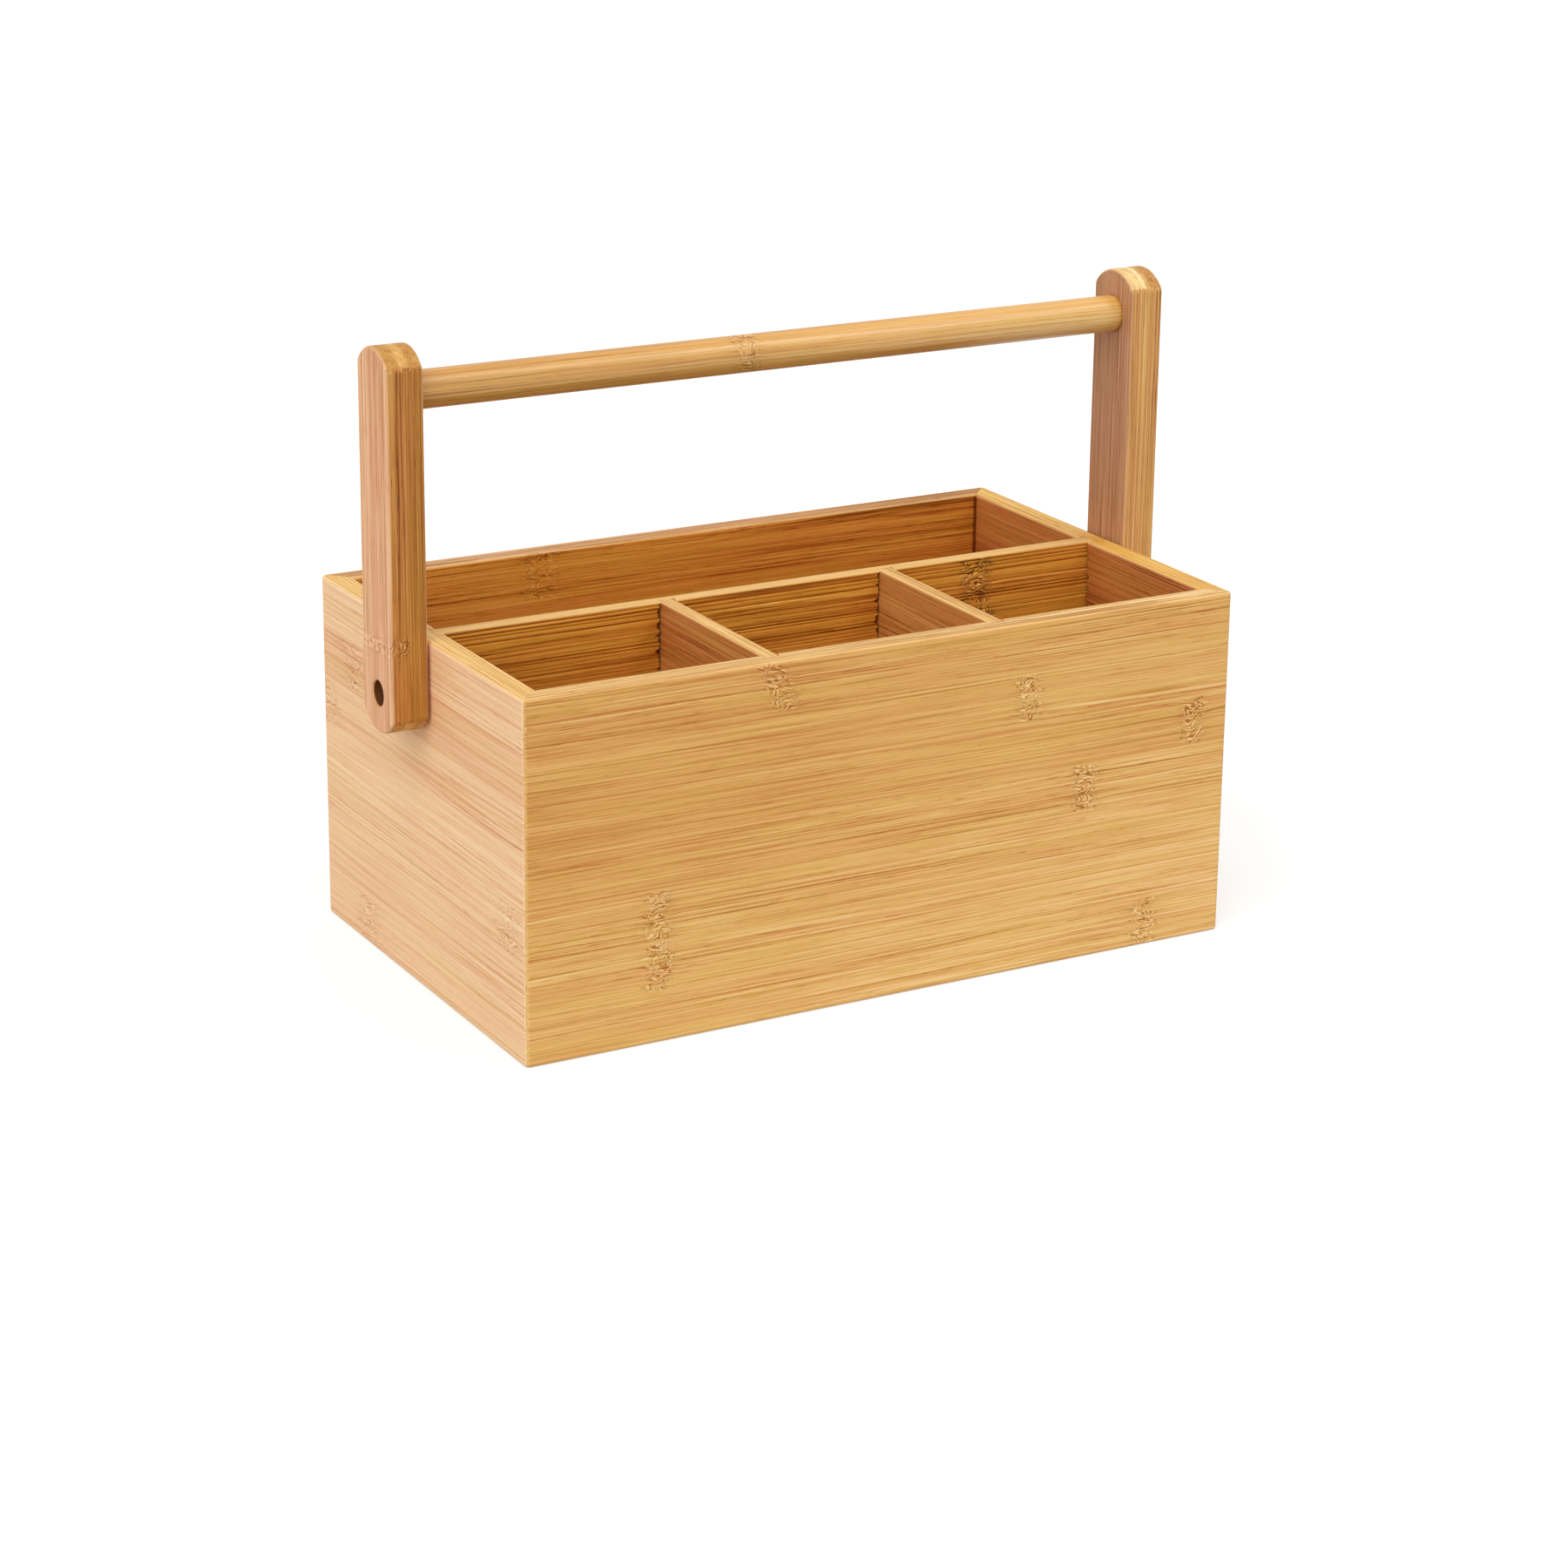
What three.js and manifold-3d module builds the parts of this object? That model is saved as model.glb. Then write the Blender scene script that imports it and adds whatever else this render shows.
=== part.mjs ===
// Bamboo cutlery caddy with a folding carry handle.
// Millimetres, +Z up. The origin is on the table under the middle of the box.
// -Y is the front, and the handle turns about a line along X at mid depth.

import * as THREE from "three";
import { mergeVertices } from "three/addons/utils/BufferGeometryUtils.js";
import Module from "manifold-3d";

const wasm = await Module();
wasm.setup();

// Driving dimensions
const BOX = { width: 250, depth: 150, height: 115, wall: 8, edge: 1.2, corner: 1.6 };
const FLOOR = { thickness: 5, underside: 4, groove: 4 };
const LONG_DIVIDER = { thickness: 5.5, dado: 3, edge: 0.8 };
const CROSS_DIVIDER = { thickness: 5.2, frontDado: 3, backDado: 2, edge: 0.8 };
const ARM = { length: 120, width: 22, thickness: 12, endRadius: 13.5, cornerRadius: 3, edge: 0.9 };
const BAR = { radius: 6, socket: 6, belowTop: 14.5, chamfer: 0.5 };
const PIVOT = { height: 98, aboveArmEnd: 12.5, gap: 1, counterbore: 4, counterboreDepth: 8, chamfer: 0.4 };
const SCREW = { radius: 1.75, length: 24, point: 4, tip: 0.2, head: 3.3, headHeight: 2.5, dome: 0.9 };
const RECESS = { across: 3.6, slot: 0.9, depth: 1.3 };
const WASHER = { outer: 3.6, inner: 2.1, thickness: 0.8 };
const SPACER = { outer: 4.8, inner: 2.1, thickness: 0.8 };

const GLUE_LINE = 0.1; // between two pieces that are glued
const RUNNING_FIT = 0.3; // round the screw, all the way round, where the arm turns on it
const PILOT_FIT = 0.1; // round the screw in the wall and in the long divider
const BAR_FIT = 0.1; // round the bar in its sockets
const OVERSHOOT = 1; // how far a cutter runs past the face that it opens

const EDGE_STEPS = 4; // facets across an eased edge
const ARC_STEPS = 6; // half as many as the facets of each arc at the ends of an arm
const BAR_SIDES = 64;
const HOLE_SIDES = 40;
const HARDWARE_SIDES = 32;

// Worked out from them
const INNER_WIDTH = BOX.width - 2 * BOX.wall;
const INNER_DEPTH = BOX.depth - 2 * BOX.wall;
const FLOOR_TOP = FLOOR.underside + FLOOR.thickness;
const BAY_WIDTH = (INNER_WIDTH - 2 * CROSS_DIVIDER.thickness) / 3;
const CROSS_DIVIDER_X = (BAY_WIDTH + CROSS_DIVIDER.thickness) / 2;
const DIVIDER_FRONT = -LONG_DIVIDER.thickness / 2;
const CROSS_DIVIDER_FRONT = -INNER_DEPTH / 2 - CROSS_DIVIDER.frontDado + GLUE_LINE;
const CROSS_DIVIDER_BACK = DIVIDER_FRONT + CROSS_DIVIDER.backDado - GLUE_LINE;
const ARM_INNER_FACE = BOX.width / 2 + PIVOT.gap;
const ARM_TOP = ARM.length - PIVOT.aboveArmEnd;
const BAR_HEIGHT = ARM_TOP - BAR.belowTop;
const SPACER_SEAT = BOX.width / 2 + (PIVOT.gap - SPACER.thickness) / 2;
const WASHER_SEAT = ARM_INNER_FACE + ARM.thickness - PIVOT.counterboreDepth + GLUE_LINE;
const SCREW_HEAD_SEAT = WASHER_SEAT + WASHER.thickness + GLUE_LINE;

// Colours as they show in daylight
const materials = {
  front: bamboo(0xdca95f),
  side: bamboo(0xe9bd86),
  inside: bamboo(0xc98d4b),
  arm: bamboo(0xcf9450),
  bar: bamboo(0xe0ac62),
  zinc: new THREE.MeshStandardMaterial({ color: 0xb9b7ae, roughness: 0.35, metalness: 1 }),
};

function bamboo(color) {
  return new THREE.MeshStandardMaterial({ color, roughness: 0.55, metalness: 0 });
}

// Solids from geometries, and back

function solidOf(geometry) {
  const bare = geometry.clone();
  bare.deleteAttribute("normal");
  bare.deleteAttribute("uv");
  const merged = mergeVertices(bare, 1e-4);
  const mesh = new wasm.Mesh({
    numProp: 3,
    vertProperties: merged.getAttribute("position").array,
    triVerts: new Uint32Array(merged.index.array),
  });
  return new wasm.Manifold(mesh);
}

function geometryOf(solid) {
  const mesh = solid.getMesh();
  const geometry = new THREE.BufferGeometry();
  geometry.setAttribute("position", new THREE.BufferAttribute(mesh.vertProperties, 3));
  geometry.setIndex(new THREE.BufferAttribute(mesh.triVerts, 1));
  const facets = geometry.toNonIndexed();
  facets.computeVertexNormals();
  return facets;
}

// Stock and cutters

// A box between two opposite corners.
function block(low, high) {
  const size = high.map((value, i) => value - low[i]);
  const centre = high.map((value, i) => (value + low[i]) / 2);
  return solidOf(new THREE.BoxGeometry(...size).translate(...centre));
}

// A round rod from one point to another, slimmer or wider at its far end where endRadius says so.
function rod(start, end, radius, endRadius = radius) {
  const from = new THREE.Vector3(...start);
  const along = new THREE.Vector3(...end).sub(from);
  const geometry = new THREE.CylinderGeometry(endRadius, radius, along.length(), HOLE_SIDES);
  geometry.translate(0, along.length() / 2, 0);
  const turn = new THREE.Quaternion().setFromUnitVectors(
    new THREE.Vector3(0, 1, 0),
    along.clone().normalize(),
  );
  geometry.applyQuaternion(turn);
  return solidOf(geometry.translate(...start));
}

// A rectangle with its lower left corner at x, y and round corners: [lower ones, upper ones].
function softRectangle(x, y, width, height, [lower, upper]) {
  const right = x + width;
  const top = y + height;
  const shape = new THREE.Shape();
  const corners = [
    [right - lower, y + lower, lower, -Math.PI / 2],
    [right - upper, top - upper, upper, 0],
    [x + upper, top - upper, upper, Math.PI / 2],
    [x + lower, y + lower, lower, Math.PI],
  ];
  for (const [cx, cy, radius, from] of corners) {
    if (radius > 0) shape.absarc(cx, cy, radius, from, from + Math.PI / 2, false);
    else if (shape.curves.length === 0) shape.moveTo(cx, cy);
    else shape.lineTo(cx, cy);
  }
  shape.closePath();
  return shape;
}

// Extrudes an outline drawn in Y and Z along X, from x = 0.
function extrudeAlongX(outline, options) {
  const axes = new THREE.Matrix4().makeBasis(
    new THREE.Vector3(0, 1, 0),
    new THREE.Vector3(0, 0, 1),
    new THREE.Vector3(1, 0, 0),
  );
  return new THREE.ExtrudeGeometry(outline, options).applyMatrix4(axes);
}

// A board with the given section, run along X from one place to another.
function boardAlongX(section, fromX, toX) {
  const options = { depth: toX - fromX, bevelEnabled: false, curveSegments: EDGE_STEPS };
  return solidOf(extrudeAlongX(section, options).translate(fromX, 0, 0));
}

// A profile of radius and height turned about Z, then laid along X with its foot at the origin.
function turnedAlongX(profile, sides) {
  const points = profile.map(([radius, height]) => new THREE.Vector2(radius, height));
  const geometry = new THREE.LatheGeometry(points, sides);
  return solidOf(geometry.rotateZ(-Math.PI / 2));
}

// Walls: boards with eased edges, mitred at both ends and grooved for the floor

// The plan of a wall: its outer face on y = 0, both ends at 45 degrees, and each outer
// corner rounded up to the mitre, so that two walls make one round corner between them.
function mitredPlan(length) {
  const half = length / 2 - GLUE_LINE;
  const round = BOX.corner;
  const shape = new THREE.Shape();
  shape.absarc(-half + round, round, round, Math.PI * 1.25, Math.PI * 1.5, false);
  shape.absarc(half - round, round, round, Math.PI * 1.5, Math.PI * 1.75, false);
  shape.lineTo(half - BOX.wall, BOX.wall);
  shape.lineTo(-half + BOX.wall, BOX.wall);
  shape.closePath();
  return shape;
}

function wall(length) {
  const section = softRectangle(0, 0, BOX.wall, BOX.height, [BOX.edge, BOX.edge]);
  const board = boardAlongX(section, -length / 2, length / 2);
  const plan = new THREE.ExtrudeGeometry(mitredPlan(length), {
    depth: BOX.height + 2 * OVERSHOOT,
    bevelEnabled: false,
    curveSegments: EDGE_STEPS,
  });
  const groove = block(
    [-length / 2, BOX.wall - FLOOR.groove, FLOOR.underside - GLUE_LINE],
    [length / 2, BOX.wall + OVERSHOOT, FLOOR_TOP + GLUE_LINE],
  );
  return board.intersect(solidOf(plan.translate(0, 0, -OVERSHOOT))).subtract(groove);
}

// A slot down the inner face of a wall, open at the rim, for the end of a divider.
function wallDado(x, thickness, depth) {
  const half = thickness / 2 + GLUE_LINE;
  return block(
    [x - half, BOX.wall - depth, FLOOR_TOP],
    [x + half, BOX.wall + OVERSHOOT, BOX.height + OVERSHOOT],
  );
}

function frontWall() {
  const { thickness, frontDado } = CROSS_DIVIDER;
  return wall(BOX.width)
    .subtract(wallDado(-CROSS_DIVIDER_X, thickness, frontDado))
    .subtract(wallDado(CROSS_DIVIDER_X, thickness, frontDado));
}

function sideWall() {
  const { thickness, dado } = LONG_DIVIDER;
  const pilot = rod(
    [0, -OVERSHOOT, PIVOT.height],
    [0, BOX.wall + OVERSHOOT, PIVOT.height],
    SCREW.radius + PILOT_FIT,
  );
  return wall(BOX.depth).subtract(wallDado(0, thickness, dado)).subtract(pilot);
}

// Floor: a thin board whose edges sit in the grooves of the four walls

function floorBoard() {
  const reach = FLOOR.groove - 2 * GLUE_LINE;
  const halfWidth = INNER_WIDTH / 2 + reach;
  const halfDepth = INNER_DEPTH / 2 + reach;
  return block(
    [-halfWidth, -halfDepth, FLOOR.underside],
    [halfWidth, halfDepth, FLOOR_TOP],
  );
}

// Dividers: boards with an eased top edge, which stand on the floor and end flush with the rim

function dividerSection(thickness, edge) {
  const foot = FLOOR_TOP + GLUE_LINE;
  return softRectangle(-thickness / 2, foot, thickness, BOX.height - foot, [0, edge]);
}

function longDivider() {
  const { thickness, dado, edge } = LONG_DIVIDER;
  const half = INNER_WIDTH / 2 + dado - GLUE_LINE;
  let board = boardAlongX(dividerSection(thickness, edge), -half, half);
  const slot = CROSS_DIVIDER.thickness / 2 + GLUE_LINE;
  for (const side of [-1, 1]) {
    const x = side * CROSS_DIVIDER_X;
    const dadoCutter = block(
      [x - slot, DIVIDER_FRONT - OVERSHOOT, FLOOR_TOP],
      [x + slot, DIVIDER_FRONT + CROSS_DIVIDER.backDado, BOX.height + OVERSHOOT],
    );
    const pilot = rod(
      [side * (half + OVERSHOOT), 0, PIVOT.height],
      [side * (SCREW_HEAD_SEAT - SCREW.length - OVERSHOOT), 0, PIVOT.height],
      SCREW.radius + PILOT_FIT,
    );
    board = board.subtract(dadoCutter).subtract(pilot);
  }
  return board;
}

// It runs along its own X from the dado in the front wall to the one in the long divider.
function crossDivider() {
  const { thickness, edge } = CROSS_DIVIDER;
  return boardAlongX(dividerSection(thickness, edge), 0, CROSS_DIVIDER_BACK - CROSS_DIVIDER_FRONT);
}

// Handle: two like arms, one turned round, with a bar glued between them

// The arm's side view: straight edges, a wide arc across each end, and a small arc at each
// corner that runs from the straight edge into the wide one.
function armOutline() {
  const { endRadius, cornerRadius } = ARM;
  const cornerY = ARM.width / 2 - cornerRadius;
  const rise = Math.sqrt((endRadius - cornerRadius) ** 2 - cornerY ** 2);
  const turn = Math.atan2(rise, cornerY);
  const shape = new THREE.Shape();
  const ends = [
    [ARM_TOP - endRadius, 0],
    [endRadius - PIVOT.aboveArmEnd, Math.PI],
  ];
  for (const [centre, start] of ends) {
    const side = Math.cos(start);
    const corner = centre + side * rise;
    const finish = start + Math.PI;
    shape.absarc(side * cornerY, corner, cornerRadius, start, start + turn, false);
    shape.absarc(0, centre, endRadius, start + turn, finish - turn, false);
    shape.absarc(-side * cornerY, corner, cornerRadius, finish - turn, finish, false);
  }
  shape.closePath();
  return shape;
}

// The arm's inner face is on x = 0, and the pivot goes through the origin.
function arm() {
  const easedEdges = {
    depth: ARM.thickness - 2 * ARM.edge,
    bevelThickness: ARM.edge,
    bevelSize: ARM.edge,
    bevelOffset: -ARM.edge,
    bevelSegments: EDGE_STEPS,
    curveSegments: ARC_STEPS,
  };
  const blank = solidOf(extrudeAlongX(armOutline(), easedEdges).translate(ARM.edge, 0, 0));
  const outer = ARM.thickness;
  const shankHole = rod([-OVERSHOOT, 0, 0], [outer, 0, 0], SCREW.radius + RUNNING_FIT);
  const counterbore = rod(
    [outer - PIVOT.counterboreDepth, 0, 0],
    [outer + OVERSHOOT, 0, 0],
    PIVOT.counterbore,
  );
  const countersink = rod(
    [outer - PIVOT.chamfer, 0, 0],
    [outer + PIVOT.chamfer, 0, 0],
    PIVOT.counterbore,
    PIVOT.counterbore + 2 * PIVOT.chamfer,
  );
  const socket = rod(
    [-OVERSHOOT, 0, BAR_HEIGHT],
    [BAR.socket, 0, BAR_HEIGHT],
    BAR.radius + BAR_FIT,
  );
  return blank
    .subtract(shankHole)
    .subtract(counterbore)
    .subtract(countersink)
    .subtract(socket);
}

function bar() {
  const length = 2 * (ARM_INNER_FACE + BAR.socket - GLUE_LINE);
  const { radius, chamfer } = BAR;
  return turnedAlongX(
    [
      [0, 0],
      [radius - chamfer, 0],
      [radius, chamfer],
      [radius, length - chamfer],
      [radius - chamfer, length],
      [0, length],
    ],
    BAR_SIDES,
  ).translate([-length / 2, 0, 0]);
}

// Pivot hardware: each piece is drawn with its inner face on x = 0

// A wood screw with a cross recess in a head whose crown is a quarter ellipse.
// Its point is at minus its length.
function screw() {
  const { radius, length, point, tip, head, headHeight, dome } = SCREW;
  const crown = [];
  for (let i = 0; i < EDGE_STEPS; i += 1) {
    const angle = (Math.PI / 2) * (i / EDGE_STEPS);
    crown.push([head * Math.cos(angle), headHeight - dome + dome * Math.sin(angle)]);
  }
  const body = turnedAlongX(
    [
      [0, -length],
      [tip, -length],
      [radius, point - length],
      [radius, 0],
      [head, 0],
      ...crown,
      [0, headHeight],
    ],
    HARDWARE_SIDES,
  );
  const reach = RECESS.across / 2;
  const half = RECESS.slot / 2;
  const floor = headHeight - RECESS.depth;
  const top = headHeight + OVERSHOOT;
  const upright = block([floor, -half, -reach], [top, half, reach]);
  const level = block([floor, -reach, -half], [top, reach, half]);
  return body.subtract(upright.add(level));
}

function washer({ outer, inner, thickness }) {
  return turnedAlongX(
    [
      [inner, 0],
      [outer, 0],
      [outer, thickness],
      [inner, thickness],
      [inner, 0],
    ],
    HARDWARE_SIDES,
  );
}

// The assembly

function piece(name, solid, material, parent, position, turn = 0) {
  const mesh = new THREE.Mesh(geometryOf(solid), material.clone());
  mesh.name = name;
  mesh.position.set(...position);
  mesh.rotation.z = turn;
  parent.add(mesh);
}

function buildBox() {
  const box = new THREE.Group();
  const quarter = Math.PI / 2;
  const sideX = BOX.width / 2;
  const faceY = BOX.depth / 2;
  piece("front_panel", frontWall(), materials.front, box, [0, -faceY, 0]);
  piece("back_panel", wall(BOX.width), materials.front, box, [0, faceY, 0], 2 * quarter);
  piece("left_panel", sideWall(), materials.side, box, [-sideX, 0, 0], -quarter);
  piece("right_panel", sideWall(), materials.side, box, [sideX, 0, 0], quarter);
  piece("bottom_panel", floorBoard(), materials.inside, box, [0, 0, 0]);
  piece("long_divider", longDivider(), materials.inside, box, [0, 0, 0]);
  for (const [side, x] of [["left", -CROSS_DIVIDER_X], ["right", CROSS_DIVIDER_X]]) {
    const place = [x, CROSS_DIVIDER_FRONT, 0];
    piece("cross_divider_" + side, crossDivider(), materials.inside, box, place, quarter);
  }
  return box;
}

function buildPivots() {
  const pivots = new THREE.Group();
  pivots.position.z = PIVOT.height;
  for (const [side, sign] of [["left", -1], ["right", 1]]) {
    const turn = sign < 0 ? Math.PI : 0;
    const at = (x) => [sign * x, 0, 0];
    piece("spacer_washer_" + side, washer(SPACER), materials.zinc, pivots, at(SPACER_SEAT), turn);
    piece("head_washer_" + side, washer(WASHER), materials.zinc, pivots, at(WASHER_SEAT), turn);
    piece("pivot_screw_" + side, screw(), materials.zinc, pivots, at(SCREW_HEAD_SEAT), turn);
  }
  return pivots;
}

// The group turns about X through the pivots: upright here, and 119 degrees down to either side.
function buildHandle() {
  const handle = new THREE.Group();
  handle.position.z = PIVOT.height;
  piece("handle_arm_left", arm(), materials.arm, handle, [-ARM_INNER_FACE, 0, 0], Math.PI);
  piece("handle_arm_right", arm(), materials.arm, handle, [ARM_INNER_FACE, 0, 0]);
  piece("handle_bar", bar(), materials.bar, handle, [0, 0, BAR_HEIGHT]);
  return handle;
}

const caddy = new THREE.Group();
caddy.add(buildBox(), buildPivots(), buildHandle());

export default caddy;
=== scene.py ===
# %% [markdown]
# # A bamboo caddy with a folding handle
#
# The real thing is a box of laminated bamboo boards, mitred at the corners, with one long bay
# behind and three short bays in front. Two arms and a round bar make the handle, which folds
# about a screw in each side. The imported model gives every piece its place. This lesson gives
# each piece its skin: softened edges, fibres torn out where a saw cut a slot, and the lines and
# knuckles of bamboo. Lengths are in millimetres, as on a workshop drawing, and one factor turns
# them into Blender's metres.

import math

import bmesh
import bpy
import numpy as np
from mathutils import Matrix, Vector


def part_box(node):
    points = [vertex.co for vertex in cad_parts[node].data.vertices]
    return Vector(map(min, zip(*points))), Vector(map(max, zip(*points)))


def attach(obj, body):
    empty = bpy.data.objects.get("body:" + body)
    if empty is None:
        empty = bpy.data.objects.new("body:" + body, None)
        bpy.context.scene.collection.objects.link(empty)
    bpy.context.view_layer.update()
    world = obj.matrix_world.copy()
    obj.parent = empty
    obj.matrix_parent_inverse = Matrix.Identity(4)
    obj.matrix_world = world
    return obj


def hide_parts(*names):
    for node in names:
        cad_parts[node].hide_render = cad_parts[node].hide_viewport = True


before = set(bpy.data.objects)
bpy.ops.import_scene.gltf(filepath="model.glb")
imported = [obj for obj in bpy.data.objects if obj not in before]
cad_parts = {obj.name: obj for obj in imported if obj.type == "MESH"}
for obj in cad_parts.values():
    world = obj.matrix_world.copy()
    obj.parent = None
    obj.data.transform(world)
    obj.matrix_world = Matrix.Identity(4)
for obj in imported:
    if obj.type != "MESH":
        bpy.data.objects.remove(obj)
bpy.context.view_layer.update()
MM = 0.001


def extent(node):
    """The lowest and the highest corner of a node of the frame, in millimetres."""
    return [np.array(corner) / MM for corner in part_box(node)]


# %% [markdown]
# ## Sizes
#
# Places and thicknesses are read from the frame, so this file never disagrees with it. What the
# outside of a piece doesn't say is how it was worked: how far its edges were sanded back, how
# close the glued mitres are, and how deep the slots go. Those are named here.

# %% Read the sizes
front_low, front_high = extent("front_panel")
left_low = extent("left_panel")[0]
floor_low, floor_high = extent("bottom_panel")
long_low, long_high = extent("long_divider")
cross_low, cross_high = extent("cross_divider_right")
arm_low, arm_high = extent("handle_arm_right")
bar_low, bar_high = extent("handle_bar")
screw_low, screw_high = extent("pivot_screw_right")

HEIGHT = front_high[2]
WALL = front_high[1] - front_low[1]
HALF_WIDTH = -left_low[0]
HALF_DEPTH = -front_low[1]
FLOOR_TOP = floor_high[2]
LONG_THICKNESS = long_high[1] - long_low[1]
CROSS_THICKNESS = cross_high[0] - cross_low[0]
CROSS_X = (cross_high[0] + cross_low[0]) / 2
PIVOT_HEIGHT = (screw_high[2] + screw_low[2]) / 2
BAR_HEIGHT = (bar_high[2] + bar_low[2]) / 2

RIM_EASE = 1.2
CORNER_RADIUS = 1.6
DIVIDER_EASE = 0.8
MITRE_GAP = 0.05
CORNER_SHADE_WIDTH = 1.0
SLOT_GAP = 0.1
WALL_SLOT = 3.0
DIVIDER_SLOT = 2.0
FLOOR_GROOVE = 4.0
TOUCH = 0.01
print(f"box {2 * HALF_WIDTH:.1f} x {2 * HALF_DEPTH:.1f} x {HEIGHT:.1f}")
print(f"pivot {PIVOT_HEIGHT:.1f} and bar {BAR_HEIGHT:.1f} above the table")

# %% [markdown]
# ## From points to a skin
#
# Each piece is worked out as rows of points. A row closes on itself, as a hoop does, and the
# rows follow one another along the piece. Four-sided faces between neighbours are the whole of
# the meshing, and they are the same for a board, an arm, a dowel or a screw. A box with a Bevel
# modifier would do for a plain board, but it has no place for a torn edge or a thread. Rows may
# fall on each other, as at the shoulder of a slot, because doubles are merged afterwards. Marks
# are numbers kept with the points, which the finish reads later: where an edge was worn, or
# which side is the inside of the box.

# %% Skin
MERGE = 0.001
SLIVER = 0.0005


def skin(name, rows, hoop_of_hoops=False, **marks):
    """Faces between each row of points and the next. The ends are capped, or joined to each
    other where the rows go round too, as on a washer. Marks are stored as attributes."""
    count, around = rows.shape[:2]
    index = np.arange(count * around).reshape(count, around)
    beside = np.roll(index, -1, axis=1)
    step = slice(None) if hoop_of_hoops else slice(0, -1)
    above, above_beside = (np.roll(grid, -1, axis=0)[step] for grid in (index, beside))
    faces = np.stack([index[step], beside[step], above_beside, above], axis=-1)
    faces = faces.reshape(-1, 4).tolist()
    if not hoop_of_hoops:
        faces += [index[0, ::-1].tolist(), index[-1].tolist()]
    mesh = bpy.data.meshes.new(name)
    mesh.from_pydata((rows.reshape(-1, 3) * MM).tolist(), [], faces)
    for mark, values in marks.items():
        whole = np.broadcast_to(values, (count, around)).astype(np.float32)
        mesh.attributes.new(mark, "FLOAT", "POINT").data.foreach_set("value", whole.ravel())
    piece = bpy.data.objects.new(name, mesh)
    bpy.context.scene.collection.objects.link(piece)
    seal(mesh)
    return piece


def seal(mesh):
    """Merges points that fall on each other, then turns the closed shell's faces outwards."""
    shell = bmesh.new()
    shell.from_mesh(mesh)
    bmesh.ops.remove_doubles(shell, verts=shell.verts, dist=MERGE * MM)
    bmesh.ops.dissolve_degenerate(shell, edges=shell.edges, dist=SLIVER * MM)
    bmesh.ops.recalc_face_normals(shell, faces=shell.faces)
    if shell.calc_volume(signed=True) < 0:
        bmesh.ops.reverse_faces(shell, faces=shell.faces)
    shell.to_mesh(mesh)
    shell.free()


print(f"points less than {MERGE} mm apart are merged")

# %% [markdown]
# ## Finishing a piece
#
# A flat face should shade flat and an eased edge should shade round. Edges sharper than a limit
# are marked sharp, and the Weighted Normal modifier lets the large faces win over the narrow
# ones beside them. Smooth shading alone would spread the rounding's shade over the whole face.
# Then the piece is hung on the body that carries it, and stands for the plain solid of the
# frame.

# %% Finish
SHARP_ANGLE = math.radians(35)


def finish_piece(piece, material, body, node):
    """Shades the piece, gives it its material, and lets it ride and stand for its node."""
    shell = bmesh.new()
    shell.from_mesh(piece.data)
    open_edges = sum(not edge.is_manifold for edge in shell.edges)
    volume = shell.calc_volume(signed=True) / MM**3 / 1000
    shell.free()
    piece.data.shade_smooth()
    piece.data.set_sharp_from_angle(angle=SHARP_ANGLE)
    piece.modifiers.new("large faces win", "WEIGHTED_NORMAL").keep_sharp = True
    piece.data.materials.clear()
    piece.data.materials.append(material)
    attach(piece, body)
    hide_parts(node)
    faces = len(piece.data.polygons)
    print(f"{piece.name}: {faces} faces, {volume:.2f} cm3, {open_edges} open edges")


print(f"edges sharper than {math.degrees(SHARP_ANGLE):.0f} degrees are marked sharp")

# %% [markdown]
# ## Turned shapes and cuts
#
# A bar, a washer, a screw and a drill's hole are all turned about a line along X. One function
# makes them, with a radius that may also change round the turn, which is what a thread needs
# and a ready-made cylinder can't do. Holes are cut with a boolean, as a drill would cut them,
# and the cutter is thrown away.

# %% Turning and cutting
SIDES = 64


def turned(name, radius, along, centre, sides=SIDES, hoop_of_hoops=False, **marks):
    """Rows of points round a line along X. A row's points lie at its place along the line, at
    radius times the cosine and sine of the angle from it."""
    angle = np.linspace(0, 2 * math.pi, sides, endpoint=False)
    radius = np.reshape(radius, (len(along), -1))
    x = np.broadcast_to(np.reshape(along, (-1, 1)), (len(along), sides))
    y = radius * np.cos(angle)
    z = radius * np.sin(angle)
    return skin(name, np.stack([x, y, z], axis=-1) + centre, hoop_of_hoops, **marks)


def cut(piece, cutter):
    """Takes the cutter's shape out of the piece, and removes the cutter."""
    drill = piece.modifiers.new("cut", "BOOLEAN")
    drill.object = cutter
    drill.solver = "MANIFOLD"
    graph = bpy.context.evaluated_depsgraph_get()
    drilled = bpy.data.meshes.new_from_object(piece.evaluated_get(graph))
    piece.modifiers.clear()
    piece.data = drilled
    bpy.data.objects.remove(cutter)
    seal(piece.data)


print(f"a drill has {SIDES} points round, {360 / SIDES:.1f} degrees apart")

# %% [markdown]
# ## The section of a board
#
# Cut a board across and the end shows a rectangle with four eased corners. A wall also has a
# groove near its foot, which holds the floor. The groove could be cut afterwards, but in the
# outline it only costs four corners. Walking once round that outline gives the row of points
# that is carried along the board. The inner face gets a point every half millimetre, so that a
# slot's ragged edge can be drawn in real geometry.

# %% Section
OUTER_EVERY = 5.0
RIM_EVERY = 1.5


def arc(across, up, radius, start, end, steps=6):
    """Points on a circle about (across, up), from one angle to another in degrees."""
    angle = np.radians(np.linspace(start, end, steps + 1 if radius > 0 else 1))
    return np.stack([across + radius * np.cos(angle), up + radius * np.sin(angle)], axis=1)


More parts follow.
